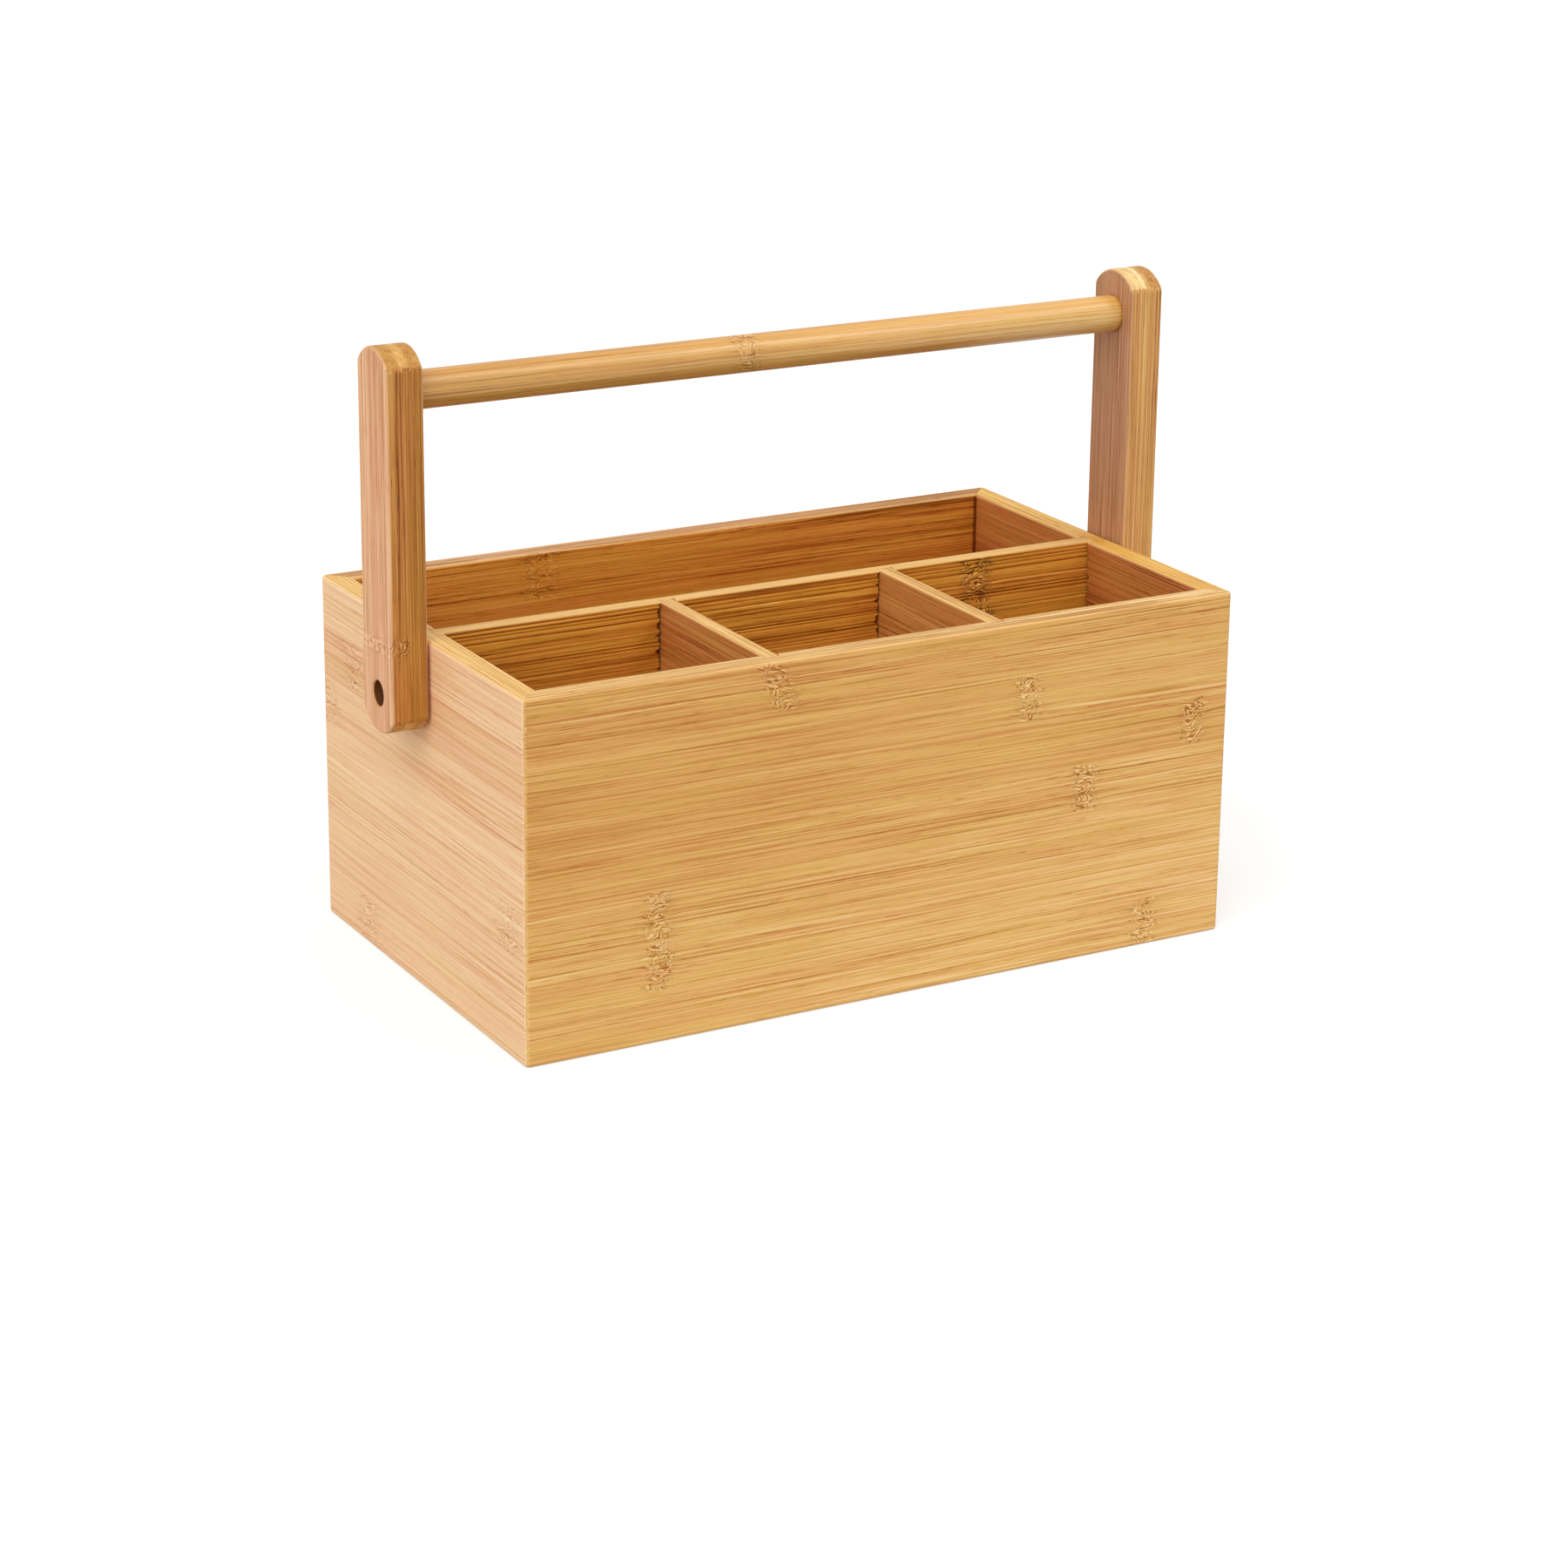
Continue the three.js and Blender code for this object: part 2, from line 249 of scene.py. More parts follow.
def run(start, end, every):
    """Points on a straight line, about so many millimetres apart, without its start."""
    start, end = np.array(start, float), np.array(end, float)
    share = np.linspace(0, 1, max(1, round(math.dist(start, end) / every)) + 1)[1:, None]
    return start + share * (end - start)


def board_section(thickness, foot, top, ease, foot_ease=0.0, groove=(), fine=0.5):
    """(depth, height) round a board: up the outer face at depth 0, over the rim, and down the
    inner face through the groove's corners."""
    corners = [(thickness, top - ease), *groove, (thickness, foot + foot_ease)]
    inner = [run(start, end, fine) for start, end in zip(corners, corners[1:])]
    return np.concatenate([
        arc(foot_ease, foot + foot_ease, foot_ease, 270, 180),
        run((0, foot + foot_ease), (0, top - ease), OUTER_EVERY),
        arc(ease, top - ease, ease, 180, 90),
        run((ease, top), (thickness - ease, top), RIM_EVERY),
        arc(thickness - ease, top - ease, ease, 90, 0),
        *inner,
        arc(thickness - foot_ease, foot + foot_ease, foot_ease, 0, -90),
    ])


print("points round a wall:", len(board_section(WALL, 0, HEIGHT, RIM_EASE, RIM_EASE)))

# %% [markdown]
# ## Torn fibres and saw marks
#
# Bamboo is all long fibres. A saw that runs across them, as for the slot that takes a divider,
# lifts some out instead of cutting them, and leaves a row of little pointed chips. They are
# what draws the dark ragged line beside each divider, together with the shade painted into them.
# A saw that runs along them leaves shallow furrows instead. Both are rows of pointed hats, each
# hat with its own place, width and height, and painted shade makes them darker the deeper they
# go. Single chips could be cut one by one, but a row of hats needs no boolean and keeps the
# board closed.

# %% Chips and furrows
CHIP_DEPTH = 1.5
CHIP_LEAST = 0.5
# painted shade beside a slot: how dark it is there, and how far it reaches
JOINT_SHADE_SHARE = 0.12
JOINT_SHADE_REACH = 12.0
CHIPS = {"spacing": 2.1, "half": (0.6, 1.2), "tallest": 2.3, "rarity": 0.9}
FURROWS = {"spacing": 1.6, "half": (0.25, 0.45), "tallest": 0.25, "rarity": 0.7}


def hats(height, seed, spacing, half, tallest, rarity):
    """A row of pointed hats seen from the side: at each height, the tallest hat there."""
    chance = np.random.default_rng(seed)
    count = int(HEIGHT / spacing) + 1
    centre = spacing * (np.arange(count) + chance.random(count))
    width = half[0] + (half[1] - half[0]) * chance.random(count)
    tall = tallest * chance.random(count) ** rarity
    return (tall * np.clip(1 - np.abs(height[:, None] - centre) / width, 0, 1)).max(axis=1)


print("places for a chip beside a slot:", int(HEIGHT / CHIPS["spacing"]) + 1)

# %% [markdown]
# ## Worn edges
#
# Lacquer wears off first where an edge is roundest, and the wood looks paler there. That line
# could be painted by hand, but where a point lies says it as well: in the middle of the
# rounding it is as far from the one face as from the other.

# %% Worn edges
WEAR_FALL = 1.4


def worn_edge(first, second, ease):
    """How worn a rounded edge is at points that lie so far from its two faces: 1 where both
    are as near, falling to 0 before the edge runs into a face."""
    middle = np.clip(1 - WEAR_FALL * np.abs(first - second) / ease, 0, 1)
    return np.where((first < ease) & (second < ease), middle, 0)


print(f"wear reaches {RIM_EASE / WEAR_FALL:.1f} mm of difference between the faces of a rim")

# %% [markdown]
# ## Mitred ends
#
# A wall ends in a mitre. It could be sawn with a boolean, but a rule does it too: a point at
# depth d stops d short of the corner, so the end is one flat face at 45 degrees. Near the outer
# face the path bends round the corner's own centre instead, so that two walls make one softly
# rounded corner between them.

# %% Mitres
STRAIGHT_STEPS = (0.4, 1.0)
MITRE_STEPS = np.linspace(0, 1, 7)[1:]


def mitred_end(depth, height, face, last, half):
    """Rows from the straight part to the mitre. Points shallower than the corner's radius turn
    through 45 degrees about its centre, and deeper ones run straight on to half minus depth."""
    end = half - MITRE_GAP
    # deeper points take their last rows within a short width of the mitre, where the inner corner's
    # shade is painted
    turn_from = end - np.where(depth < CORNER_RADIUS, CORNER_RADIUS, depth + CORNER_SHADE_WIDTH)
    lever = np.maximum(CORNER_RADIUS - depth, 0)
    rows = []
    for share in STRAIGHT_STEPS:
        x = last + share * (turn_from - last)
        rows.append(np.stack([x, face, height], axis=1))
    for share in MITRE_STEPS:
        angle = share * math.pi / 4
        x = turn_from + np.where(lever > 0, lever * math.sin(angle), CORNER_SHADE_WIDTH * share)
        y = face + lever * (1 - math.cos(angle))
        rows.append(np.stack([x, y, height], axis=1))
    return rows


print("rows of points in a mitred end:", len(STRAIGHT_STEPS) + len(MITRE_STEPS))

# %% [markdown]
# ## Carrying the section along the board
#
# The section is carried from one end of the board to the other. Between slots a row of points
# now and then is enough. A slot is two shoulders where the inner face steps back. It could be
# cut out of a plain board, but here its torn edges are part of the same rows. Shade is painted
# dark in the slot and its chips, faintly beside it, and not at all a centimetre away, and also
# into the furrows and the inner corner of each mitre. A divider is simply cut square at its
# ends.

# %% Board
ROW_EVERY = 15.0
ROOM_FOR_CHIPS = 3.0
ROOM_AT_END = 1.0
# how dark the painted shade in the deepest furrow is
FURROW_SHADE = 0.5
FURROW_SEED = 500


def board(name, section, half, mitred=False, slots=(), seed=0, furrowed=False):
    """The section at one place after another along X, from minus half to half. Slots are
    (centre, width, depth). A furrowed board has saw marks along its inner face."""
    depth, height = section.T
    thickness = depth.max()
    above_floor = height > FLOOR_TOP - TOUCH
    inner_face = (depth > thickness - TOUCH) & above_floor
    furrow = hats(height, seed + FURROW_SEED, **FURROWS) * inner_face * furrowed
    face = depth - furrow

    def row(x, reach=math.inf):
        kept = np.where(above_floor, np.minimum(face, reach), face)
        return np.stack([np.broadcast_to(x, kept.shape), kept, height], axis=1)

    def stretch(start, end):
        return [row(x) for x in np.linspace(start, end, max(2, round((end - start) / ROW_EVERY)))]

    last = half - (thickness if mitred else 0) - ROOM_AT_END
    rows, row_shade, edge = [], [], -last
    for number, (centre, width, slot) in enumerate(sorted(slots)):
        left, right = centre - width / 2, centre + width / 2
        rows += stretch(edge, left - JOINT_SHADE_REACH) + [row(left - ROOM_FOR_CHIPS)]
        # each row's share of painted shade: faint beside a slot, full in the chips and in the slot
        row_shade += [0] * (len(rows) - len(row_shade) - 1) + [JOINT_SHADE_SHARE, JOINT_SHADE_SHARE, 1, 1, 1, 1, JOINT_SHADE_SHARE, JOINT_SHADE_SHARE]
        floor, shelf = thickness - slot, thickness - CHIP_DEPTH
        before, after = (CHIP_LEAST + hats(height, seed + 2 * number + side, **CHIPS)
                         for side in (0, 1))
        rows.append(row(left - before * inner_face))
        rows += [row(left, shelf), row(left, floor), row(right, floor), row(right, shelf)]
        rows += [row(right + after * inner_face), row(right + ROOM_FOR_CHIPS)]
        edge = right + JOINT_SHADE_REACH
    rows += stretch(edge, last)
    end = mitred_end(depth, height, face, last, half) if mitred else [row(half)]
    rows = [points * (-1, 1, 1) for points in end[::-1]] + rows + end
    corner_shade = [0, 0, *MITRE_STEPS] if mitred else [0]
    row_shade = corner_shade[::-1] + row_shade
    row_shade += [0] * (len(rows) - len(end) - len(row_shade)) + corner_shade
    x, d, z = np.moveaxis(np.array(rows), -1, 0)
    to_face = np.minimum(d, thickness - d)
    to_rim = np.minimum(height.max() - z, z - height.min())
    worn = worn_edge(to_face, to_rim, RIM_EASE)
    if mitred:
        worn = np.maximum(worn, worn_edge(d, half - np.abs(x), CORNER_RADIUS))
    inside = np.clip(1 - (thickness - depth) / RIM_EASE, 0, 1)
    # painted shade on the inner face: in the slots and chips, beside them, in each mitre's inner
    # corner, and in the furrows by their depth
    chips = np.array(row_shade)[:, None] * inner_face
    hollow = np.maximum(chips, FURROW_SHADE * furrow / FURROWS["tallest"])
    return skin(name, np.array(rows), worn=worn, inside=inside, hollow=hollow)


# prints the painted shade's share in the furrows and beside the slots
print("furrow and joint_shade share of a slot's darkness:", FURROW_SHADE, JOINT_SHADE_SHARE)

# %% [markdown]
# Every board is made lying along X with its outer face in front, and then turned and moved to
# its own place. An object's rotation and location would do that too, but the export sets every
# object back to the middle, so the mesh itself is moved.

# %% Placing a board
def place(piece, turn, x, y):
    """Turns a piece about the upright axis and moves it, all in its mesh."""
    spot = Matrix.Translation((x * MM, y * MM, 0))
    piece.data.transform(spot @ Matrix.Rotation(math.radians(turn), 4, "Z"))


print(f"walls stand {HALF_WIDTH:.0f} and {HALF_DEPTH:.0f} mm from the middle")

# %% [markdown]
# ## Colours and nodes
#
# Colours are written as they look on a screen, in sRGB hex, and one function turns them into
# the linear numbers that a renderer adds up. A second function adds any node at all: it sets
# its options and fills its inputs, and where it is given another node, it links that one in.
# Nodes could be placed by hand in the editor, but a few words each keep the recipe readable.

# %% Colour and node
MAIN_OPTION = {"Math": "operation", "VectorMath": "operation", "MapRange": "interpolation_type"}


def linear(code):
    """An sRGB hex colour as linear red, green, blue and an alpha of 1."""
    channel = np.array([int(code[digit:digit + 2], 16) for digit in (1, 3, 5)]) / 255
    return (*np.where(channel <= 0.04045, channel / 12.92, ((channel + 0.055) / 1.055) ** 2.4), 1.0)


def add(tree, kind, inputs=(), stops=(), **settings):
    """Adds a node with its settings. The word after its kind is its main option. Its inputs are
    filled in order, or by name from a dict, and a node or socket among them is linked. Stops
    are a colour ramp's places and its colours, in hex or linear."""
    kind, *option = kind.split()
    if option:
        settings[MAIN_OPTION[kind]] = option[0]
    node = tree.nodes.new("ShaderNode" + kind)
    for name, value in settings.items():
        setattr(node, name, value)
    for number, (position, colour) in enumerate(stops):
        ramp = node.color_ramp.elements
        stop = ramp.new(position) if number >= len(ramp) else ramp[number]
        stop.position = position
        stop.color = linear(colour) if isinstance(colour, str) else colour
    enabled = [socket for socket in node.inputs if socket.enabled]
    names = {socket.name: socket for socket in enabled}
    for key, value in inputs.items() if isinstance(inputs, dict) else enumerate(inputs):
        socket = names[key] if isinstance(key, str) else enabled[key]
        if isinstance(value, bpy.types.Node):
            value = next(output for output in value.outputs if output.enabled)
        if isinstance(value, bpy.types.NodeSocket):
            tree.links.new(value, socket)
        else:
            socket.default_value = value
    return node


def new_material(name):
    """An empty material with nodes."""
    material = bpy.data.materials.new(name)
    material.use_nodes = True
    material.node_tree.nodes.clear()
    return material, material.node_tree


print("mid grey as linear light:", [round(float(value), 3) for value in linear("#808080")[:3]])

# %% [markdown]
# ## How bamboo looks
#
# A bamboo board is glued up from strips of split cane, each about as wide as a finger. Along a
# strip run bundles of dark fibre, a millimetre or two apart and as long as the strip itself.
# Wherever the cane had a joint, the strip shows a knuckle: a band of short crooked fibres and
# little pits, with the long lines bending round it. A photograph of bamboo could be laid on the
# boards, but it would repeat, and its lines wouldn't run on over a rim. The pattern is drawn in
# the wood's own directions, along the grain, up the strips and through the board, so the same
# material also gives the lines on a rim and the plies on an arm.

# %% The wood's directions and its strips
STRIPS = 7
CANE_STRIP = HEIGHT / STRIPS
PLACE_SPAN = 1000.0
TONE_SPAN = 0.6
LEAN_SPAN = 2.0
NO_KNUCKLE = PLACE_SPAN / 2


def wood_axes(tree, grain, stack):
    """Object coordinates in millimetres: along the grain, up the strips, through the board."""
    where = add(tree, "TexCoord").outputs["Object"]
    millimetres = add(tree, "VectorMath MULTIPLY", [where, (1 / MM,) * 3])
    axes = add(tree, "SeparateXYZ", [millimetres]).outputs
    through = next(axis for axis in "XYZ" if axis not in (grain, stack))
    return axes[grain], axes[stack], axes[through]


def strip_facts(tree, level, strips):
    """Reads what is known of each strip: where its knuckle is, how much paler or darker it is
    and how its knuckle leans. They are packed into the colours of a ramp with hard steps."""
    spans = (PLACE_SPAN, TONE_SPAN, LEAN_SPAN)
    steps = []
    for number, facts in enumerate(strips):
        packed = [fact / span + 0.5 for fact, span in zip(facts, spans)]
        steps.append((number / len(strips), (*packed, 1.0)))
    share = add(tree, "Math MULTIPLY", [level, 1 / len(strips)])
    ramp = add(tree, "ValToRGB", [share], stops=steps)
    ramp.color_ramp.interpolation = "CONSTANT"
    read = add(tree, "SeparateColor", [ramp.outputs["Color"]]).outputs
    return [add(tree, "MapRange", [socket, 0, 1, -span / 2, span / 2])
            for socket, span in zip(read, spans)]


def strip_chances(tree, level, seed):
    """Three numbers from 0 to 1 that differ from strip to strip: white noise of its number."""
    number = add(tree, "Math ADD", [add(tree, "Math FLOOR", [level]), seed + 0.5])
    draw = add(tree, "TexWhiteNoise", [number], noise_dimensions="1D").outputs["Color"]
    return add(tree, "SeparateColor", [draw]).outputs


print(f"a strip of cane is {CANE_STRIP:.1f} mm wide")

# %% [markdown]
# ## The lines
#
# A wave texture would draw lines, but evenly spaced ones, and cane is never even. So each layer
# of lines is a noise that is stretched along the grain. A layer says how long and how wide its
# marks are in millimetres, which part of the noise shows, and how much it darkens or lightens
# the wood. The lines come in flocks, with plainer wood between them, so one more slow noise
# says how strong they are, and another lets the hue drift between yellow and rose. Real fibre
# bundles are finer than a pixel in places, so the finest layers are drawn a little coarser than
# life to show at all.

# %% Layers of grain
# length, width, detail, from, to, tone at from, tone at to
GRAIN = [
    (300, 9.0, 1, 0.30, 0.70, -0.025, 0.025),
    (240, 0.95, 1, 0.55, 0.65, 0.0, -0.15),
    (70, 0.6, 1, 0.53, 0.63, 0.0, -0.17),
    (160, 0.75, 1, 0.46, 0.37, 0.0, 0.15),
    (30, 0.42, 1, 0.32, 0.68, -0.08, 0.08),
    (7, 0.38, 1, 0.60, 0.71, 0.0, -0.15),
]
FLOCK = (160, 11.0, 1, 0.40, 0.60, 0.75, 1.25)
HUE_DRIFT = (80, 5.0, 2, 0.35, 0.65, 0.4957, 0.504)


def per(*size):
    """One over each size. A spot that is multiplied by it gives a noise of that size."""
    return tuple(1 / length for length in size)


def stretched_noise(tree, spot, length, width, detail, low, high, at_low, at_high):
    """A noise that is long along the grain, with part of it mapped to tones."""
    noise_at = add(tree, "VectorMath MULTIPLY", [spot, per(length, width, width)])
    noise = add(tree, "TexNoise", [noise_at, 1.0, detail])
    return add(tree, "MapRange SMOOTHSTEP", [noise, low, high, at_low, at_high])


def grain_tone(tree, spot, contrast):
    """The sum of the layers' tones at a spot given along, across and through the wood."""
    total = stretched_noise(tree, spot, *GRAIN[0])
    for layer in GRAIN[1:]:
        total = add(tree, "Math ADD", [total, stretched_noise(tree, spot, *layer)])
    strength = add(tree, "Math MULTIPLY", [stretched_noise(tree, spot, *FLOCK), contrast])
    return add(tree, "Math MULTIPLY", [total, strength])


print("layers of lines, by width in mm:", [layer[1] for layer in GRAIN])

# %% [markdown]
# ## The knuckles
#
# A knuckle is about a centimetre long and as high as its strip. Inside it the fibres are short
# and crooked: little strokes, some tilted up and some down, each a thin dark line with a pale
# one beside it, and a row of pinholes up the middle. Beside it the wood is a little browner for
# a centimetre, in streaks.

# %% Where a knuckle is
KNUCKLE_HALF = 5.6
KNUCKLE_HALO = 10.0
WANDER = 6.0
WANDER_PER_MM = 0.35
STRIP_EDGE = 0.07


def beside_knuckle(tree, along, up, within, middle, lean, seed):
    """How far a point is along the grain from the knuckle's middle, which leans and wanders up
    the strip, and a share that falls from 1 to 0 at the strip's own edges."""
    mid = add(tree, "Math SUBTRACT", [within, 0.5])
    slant = add(tree, "Math MULTIPLY", [lean, CANE_STRIP])
    leaned = add(tree, "Math MULTIPLY_ADD", [mid, slant, middle])
    off = add(tree, "Math SUBTRACT", [along, leaned])
    slowly = add(tree, "Math MULTIPLY", [up, WANDER_PER_MM])
    wander = add(tree, "TexNoise", [add(tree, "CombineXYZ", [0.0, slowly, seed]), 1.0, 2.0])
    off = add(tree, "Math ADD", [off, add(tree, "MapRange", [wander, 0, 1, -WANDER, WANDER])])
    from_edge = add(tree, "Math SUBTRACT", [0.5, add(tree, "Math ABSOLUTE", [mid])])
    return off, add(tree, "MapRange SMOOTHSTEP", [from_edge, 0.0, STRIP_EDGE, 0.0, 1.0])


print(f"a knuckle is about {2 * KNUCKLE_HALF:.0f} mm long")

# %% [markdown]
# The crooked fibres could be modelled one by one, but they are too many and too fine. Instead a
# noise is read twice, the second time a little higher up, and the one is taken from the other.
# What is left looks lit from one side, as a raised fibre does: dark below, pale above.

# %% Knuckles
TILT_SIZE = (5, 2.4, 1)
TILT = (0.35, 0.65, -1.2, 0.3)
FIBRE_SIZE = (4.8, 1.0, 1.5)
FIBRE_RISE = 0.34
DARK_SIDE = -0.42
PALE_SIDE = 0.38
FIBRE_SHADE = (0.02, 0.11)
FIBRES_END = (KNUCKLE_HALF * 0.55, KNUCKLE_HALF * 1.05)
HALO_END = (KNUCKLE_HALF * 0.5, KNUCKLE_HALO)
PIT_SPACING = 1.3
PIT_SIZE = (0.16, 0.34)
PIT_ROW = (0.3, 1.4)
PIT_TONE = -0.5
SMUDGE = (12, 0.9, 1, 0.48, 0.62, 0.0, -0.09)


def crooked_fibres(tree, off, up, through, seed):
    """A spot that is tilted up or down by a slow noise, and the tone of the fibres there: the
    difference of a noise and the same noise a little higher up."""
    tilt_at = add(tree, "CombineXYZ", [off, up, seed + 7.0])
    tilt_at = add(tree, "VectorMath MULTIPLY", [tilt_at, per(*TILT_SIZE)])
    tilt = add(tree, "MapRange", [add(tree, "TexNoise", [tilt_at, 1.0, 0.0]), *TILT])
    tilted = add(tree, "Math MULTIPLY_ADD", [off, tilt, up])
    spot = add(tree, "CombineXYZ", [off, tilted, through])
    fibre_at = add(tree, "VectorMath MULTIPLY", [spot, per(*FIBRE_SIZE)])
    higher = add(tree, "VectorMath ADD", [fibre_at, (0.0, FIBRE_RISE, 0.0)])
    noise = {"Scale": 1.0, "Detail": 1.0, "Distortion": 0.1}
    here = add(tree, "TexNoise", {"Vector": fibre_at, **noise})
    above = add(tree, "TexNoise", {"Vector": higher, **noise})
    side = add(tree, "Math SUBTRACT", [here, above])
    least, most = FIBRE_SHADE
    dark = add(tree, "MapRange SMOOTHSTEP", [side, -most, -least, DARK_SIDE, 0.0])
    pale = add(tree, "MapRange SMOOTHSTEP", [side, least, most, 0.0, PALE_SIDE])
    return spot, add(tree, "Math ADD", [dark, pale])


def knuckle(tree, axes, within, middle, lean, seed, size, strength):
    """How strongly a point is beside the knuckle, and the tone of the crooked fibres and pits
    in it. Each fades out by the distance from the knuckle's middle divided by its size."""
    along, up, through = axes
    off, in_strip = beside_knuckle(tree, along, up, within, middle, lean, seed)
    away = add(tree, "Math DIVIDE", [add(tree, "Math ABSOLUTE", [off]), size])

    def fading(start, end):
        near = add(tree, "MapRange SMOOTHSTEP", [away, start, end, 1.0, 0.0])
        return add(tree, "Math MULTIPLY", [near, in_strip])

    spot, fibres = crooked_fibres(tree, off, up, through, seed)
    fibres = add(tree, "Math MULTIPLY", [fibres, fading(*FIBRES_END)])
    pit = add(tree, "TexVoronoi", [spot, 1 / PIT_SPACING])
    pit = add(tree, "MapRange SMOOTHSTEP", [pit, *PIT_SIZE, PIT_TONE, 0.0])
    marks = add(tree, "Math MULTIPLY_ADD", [pit, fading(*PIT_ROW), fibres])
    marks = add(tree, "Math MULTIPLY", [marks, strength])
    return fading(*HALO_END), marks


print(f"fibres in a knuckle: {FIBRE_SIZE[0]} by {FIBRE_SIZE[1]} mm, pits {PIT_SPACING} mm apart")

# %% [markdown]
# ## The course of the lines
#
# No two strips come from the same piece of cane, so each reads the pattern somewhere else and
# runs a little up or down. Within a strip the lines drift slowly, and near a knuckle they are
# pinched. Bending the place where the pattern is read bends all the lines at once.

# %% The lines' course
# length and width of the bends and how far they reach, in mm
DRIFT = (80, 16, 0.6)
PINCH = (5, 2.5, 0.8)
STRIP_SLIDE = 900.0
STRIP_SLOPE = 0.002


def bend(tree, flow, length, width, most):
    """A noise so long and so wide, as a shift up or down of at most so much."""
    noise_at = add(tree, "VectorMath MULTIPLY", [flow, per(length, width, 1)])
    return add(tree, "MapRange", [add(tree, "TexNoise", [noise_at, 1.0, 1.0]), 0, 1, -most, most])


def fibre_course(tree, axes, near_knuckle, chance, seed):
    """Where to read the lines: slid along by the strip's first chance, sloped by its second,
    and shifted up by the drift and, near a knuckle, by the pinch."""
    along, up, through = axes
    slid = add(tree, "Math MULTIPLY_ADD", [chance[0], STRIP_SLIDE, along])
    slope = add(tree, "MapRange", [chance[1], 0, 1, -STRIP_SLOPE, STRIP_SLOPE])
    straight = add(tree, "Math MULTIPLY_ADD", [along, slope, up])
    flow = add(tree, "CombineXYZ", [slid, up, seed])
    drifting = add(tree, "Math ADD", [straight, bend(tree, flow, *DRIFT)])
    bent = add(tree, "Math MULTIPLY_ADD", [bend(tree, flow, *PINCH), near_knuckle, drifting])
    return add(tree, "CombineXYZ", [slid, bent, through])


print(f"lines drift by {DRIFT[2]} mm and are pinched by {PINCH[2]} mm")

# %% [markdown]
# ## End grain
#
# Where a board is cut across, the fibre bundles are seen end on: dark specks a little under a
# millimetre apart in paler wood, cloudy because no two bundles took up as much lacquer. The
# cells of a Voronoi texture have one middle each and never touch, as bundles do. Two plies meet
# in a pale band of glue. Specks, clouds and band are added up as one tone.

# %% End grain
BUNDLE_SPACING = 0.8
CLOUD_SIZE = 2.5
CLOUD_TONES = (0.35, 0.85)
SPECK = (0.05, 0.40, -0.28, 0.05)
PLY_CONTRAST = 5.0
GLUE_BAND = (0.14, 0.30, 0.2, 0.0)


def end_grain_tone(tree, up, through, level, tone_shift):
    """Specks at the middles of cells, plus slow clouds, plus a pale band where level is 1."""
    speck_at = add(tree, "CombineXYZ", [up, through, 0.0])
    speck = add(tree, "TexVoronoi", [speck_at, 1 / BUNDLE_SPACING])
    clouds = add(tree, "TexNoise", [speck_at, 1 / CLOUD_SIZE, 2.0])
    clouds = add(tree, "MapRange", [clouds, 0, 1, *CLOUD_TONES])
    tone = add(tree, "Math ADD", [add(tree, "MapRange", [speck, *SPECK]), clouds])
    tone = add(tree, "Math MULTIPLY_ADD", [tone_shift, PLY_CONTRAST, tone])
    from_seam = add(tree, "Math ABSOLUTE", [add(tree, "Math SUBTRACT", [level, 1.0])])
    return add(tree, "Math ADD", [tone, add(tree, "MapRange", [from_seam, *GLUE_BAND])])


print(f"{1 / BUNDLE_SPACING**2:.1f} fibre bundles to a square millimetre of end grain")

# %% [markdown]
# ## Lacquer, and other colours
#
# The boards are planed, sanded and sprayed with a clear lacquer of the usual index, 1.5: a
# thin, dull coat on the back wall and the dividers, satin on the bar, and matt elsewhere. One
# piece of wood doesn't have one colour only. Others take over where the marks or the surface's
# direction say so: the unlit inside of the box, whose colour is partly painted shade, the rims
# and the bar's top, partly painted light from above, the worn edges, the broad sides of an arm,
# partly painted pink light from the left, and its ends. Each is a ramp of its own that is laid
# over the one before. Tinting the first one would be less work, but real wood changes its
# contrast there too.

# %% Lacquer and other colours
# roughness over the lines and between them, and how strong the gloss is
MATT_LACQUER = (0.62, 0.50, 0.35)
SATIN_LACQUER = (0.36, 0.28, 0.60)
THIN_LACQUER = (0.70, 0.60, 0.15)
LACQUER_IOR = 1.5
# from where to where the next ply, a broad side, an end and a top take over
NEXT_PLY = (0.98, 1.02, 0.0, 1.0)
SIDEWAYS = (0.45, 0.85, 0.0, 1.0)
ENDWAYS = (0.45, 0.75, 0.0, 1.0)
UPWARDS = (0.5, 0.95, 0.0, 1.0)


def lay_over(tree, colour, share, tone, codes):
    """The colour so far, with another ramp's colour over it as far as the share says."""
    other = add(tree, "ValToRGB", [tone], stops=codes)
    return add(tree, "Mix", [share, colour, other], data_type="RGBA")


print("roughness over the lines: matt", MATT_LACQUER[0], "and satin", SATIN_LACQUER[0])

# %% [markdown]
# ## Laminated bamboo
#
# Now the material itself. Lines, knuckles and strips are added up as one tone, and a ramp turns
# it into colour. A colour for each part of the pattern could be mixed instead, but tones that
# add up never hide each other, just as stains in wood don't. A bundle's open vessels stay as
# fine grooves however well a board is sanded, so the same tone drives a very small bump, and
# the lacquer is duller over them.

# %% Bamboo
# how much darker the painted shade makes the wood where the marks ask for it
PAINTED_SHADE_TONE = -0.6
STRIP_TONES = (0.475, 0.525)
ROUGH_TONES = (0.1, 0.9)
BUMP_DEPTH = 0.12
BUMP_STRENGTH = 0.35
KNUCKLE_RELIEF = 1.5


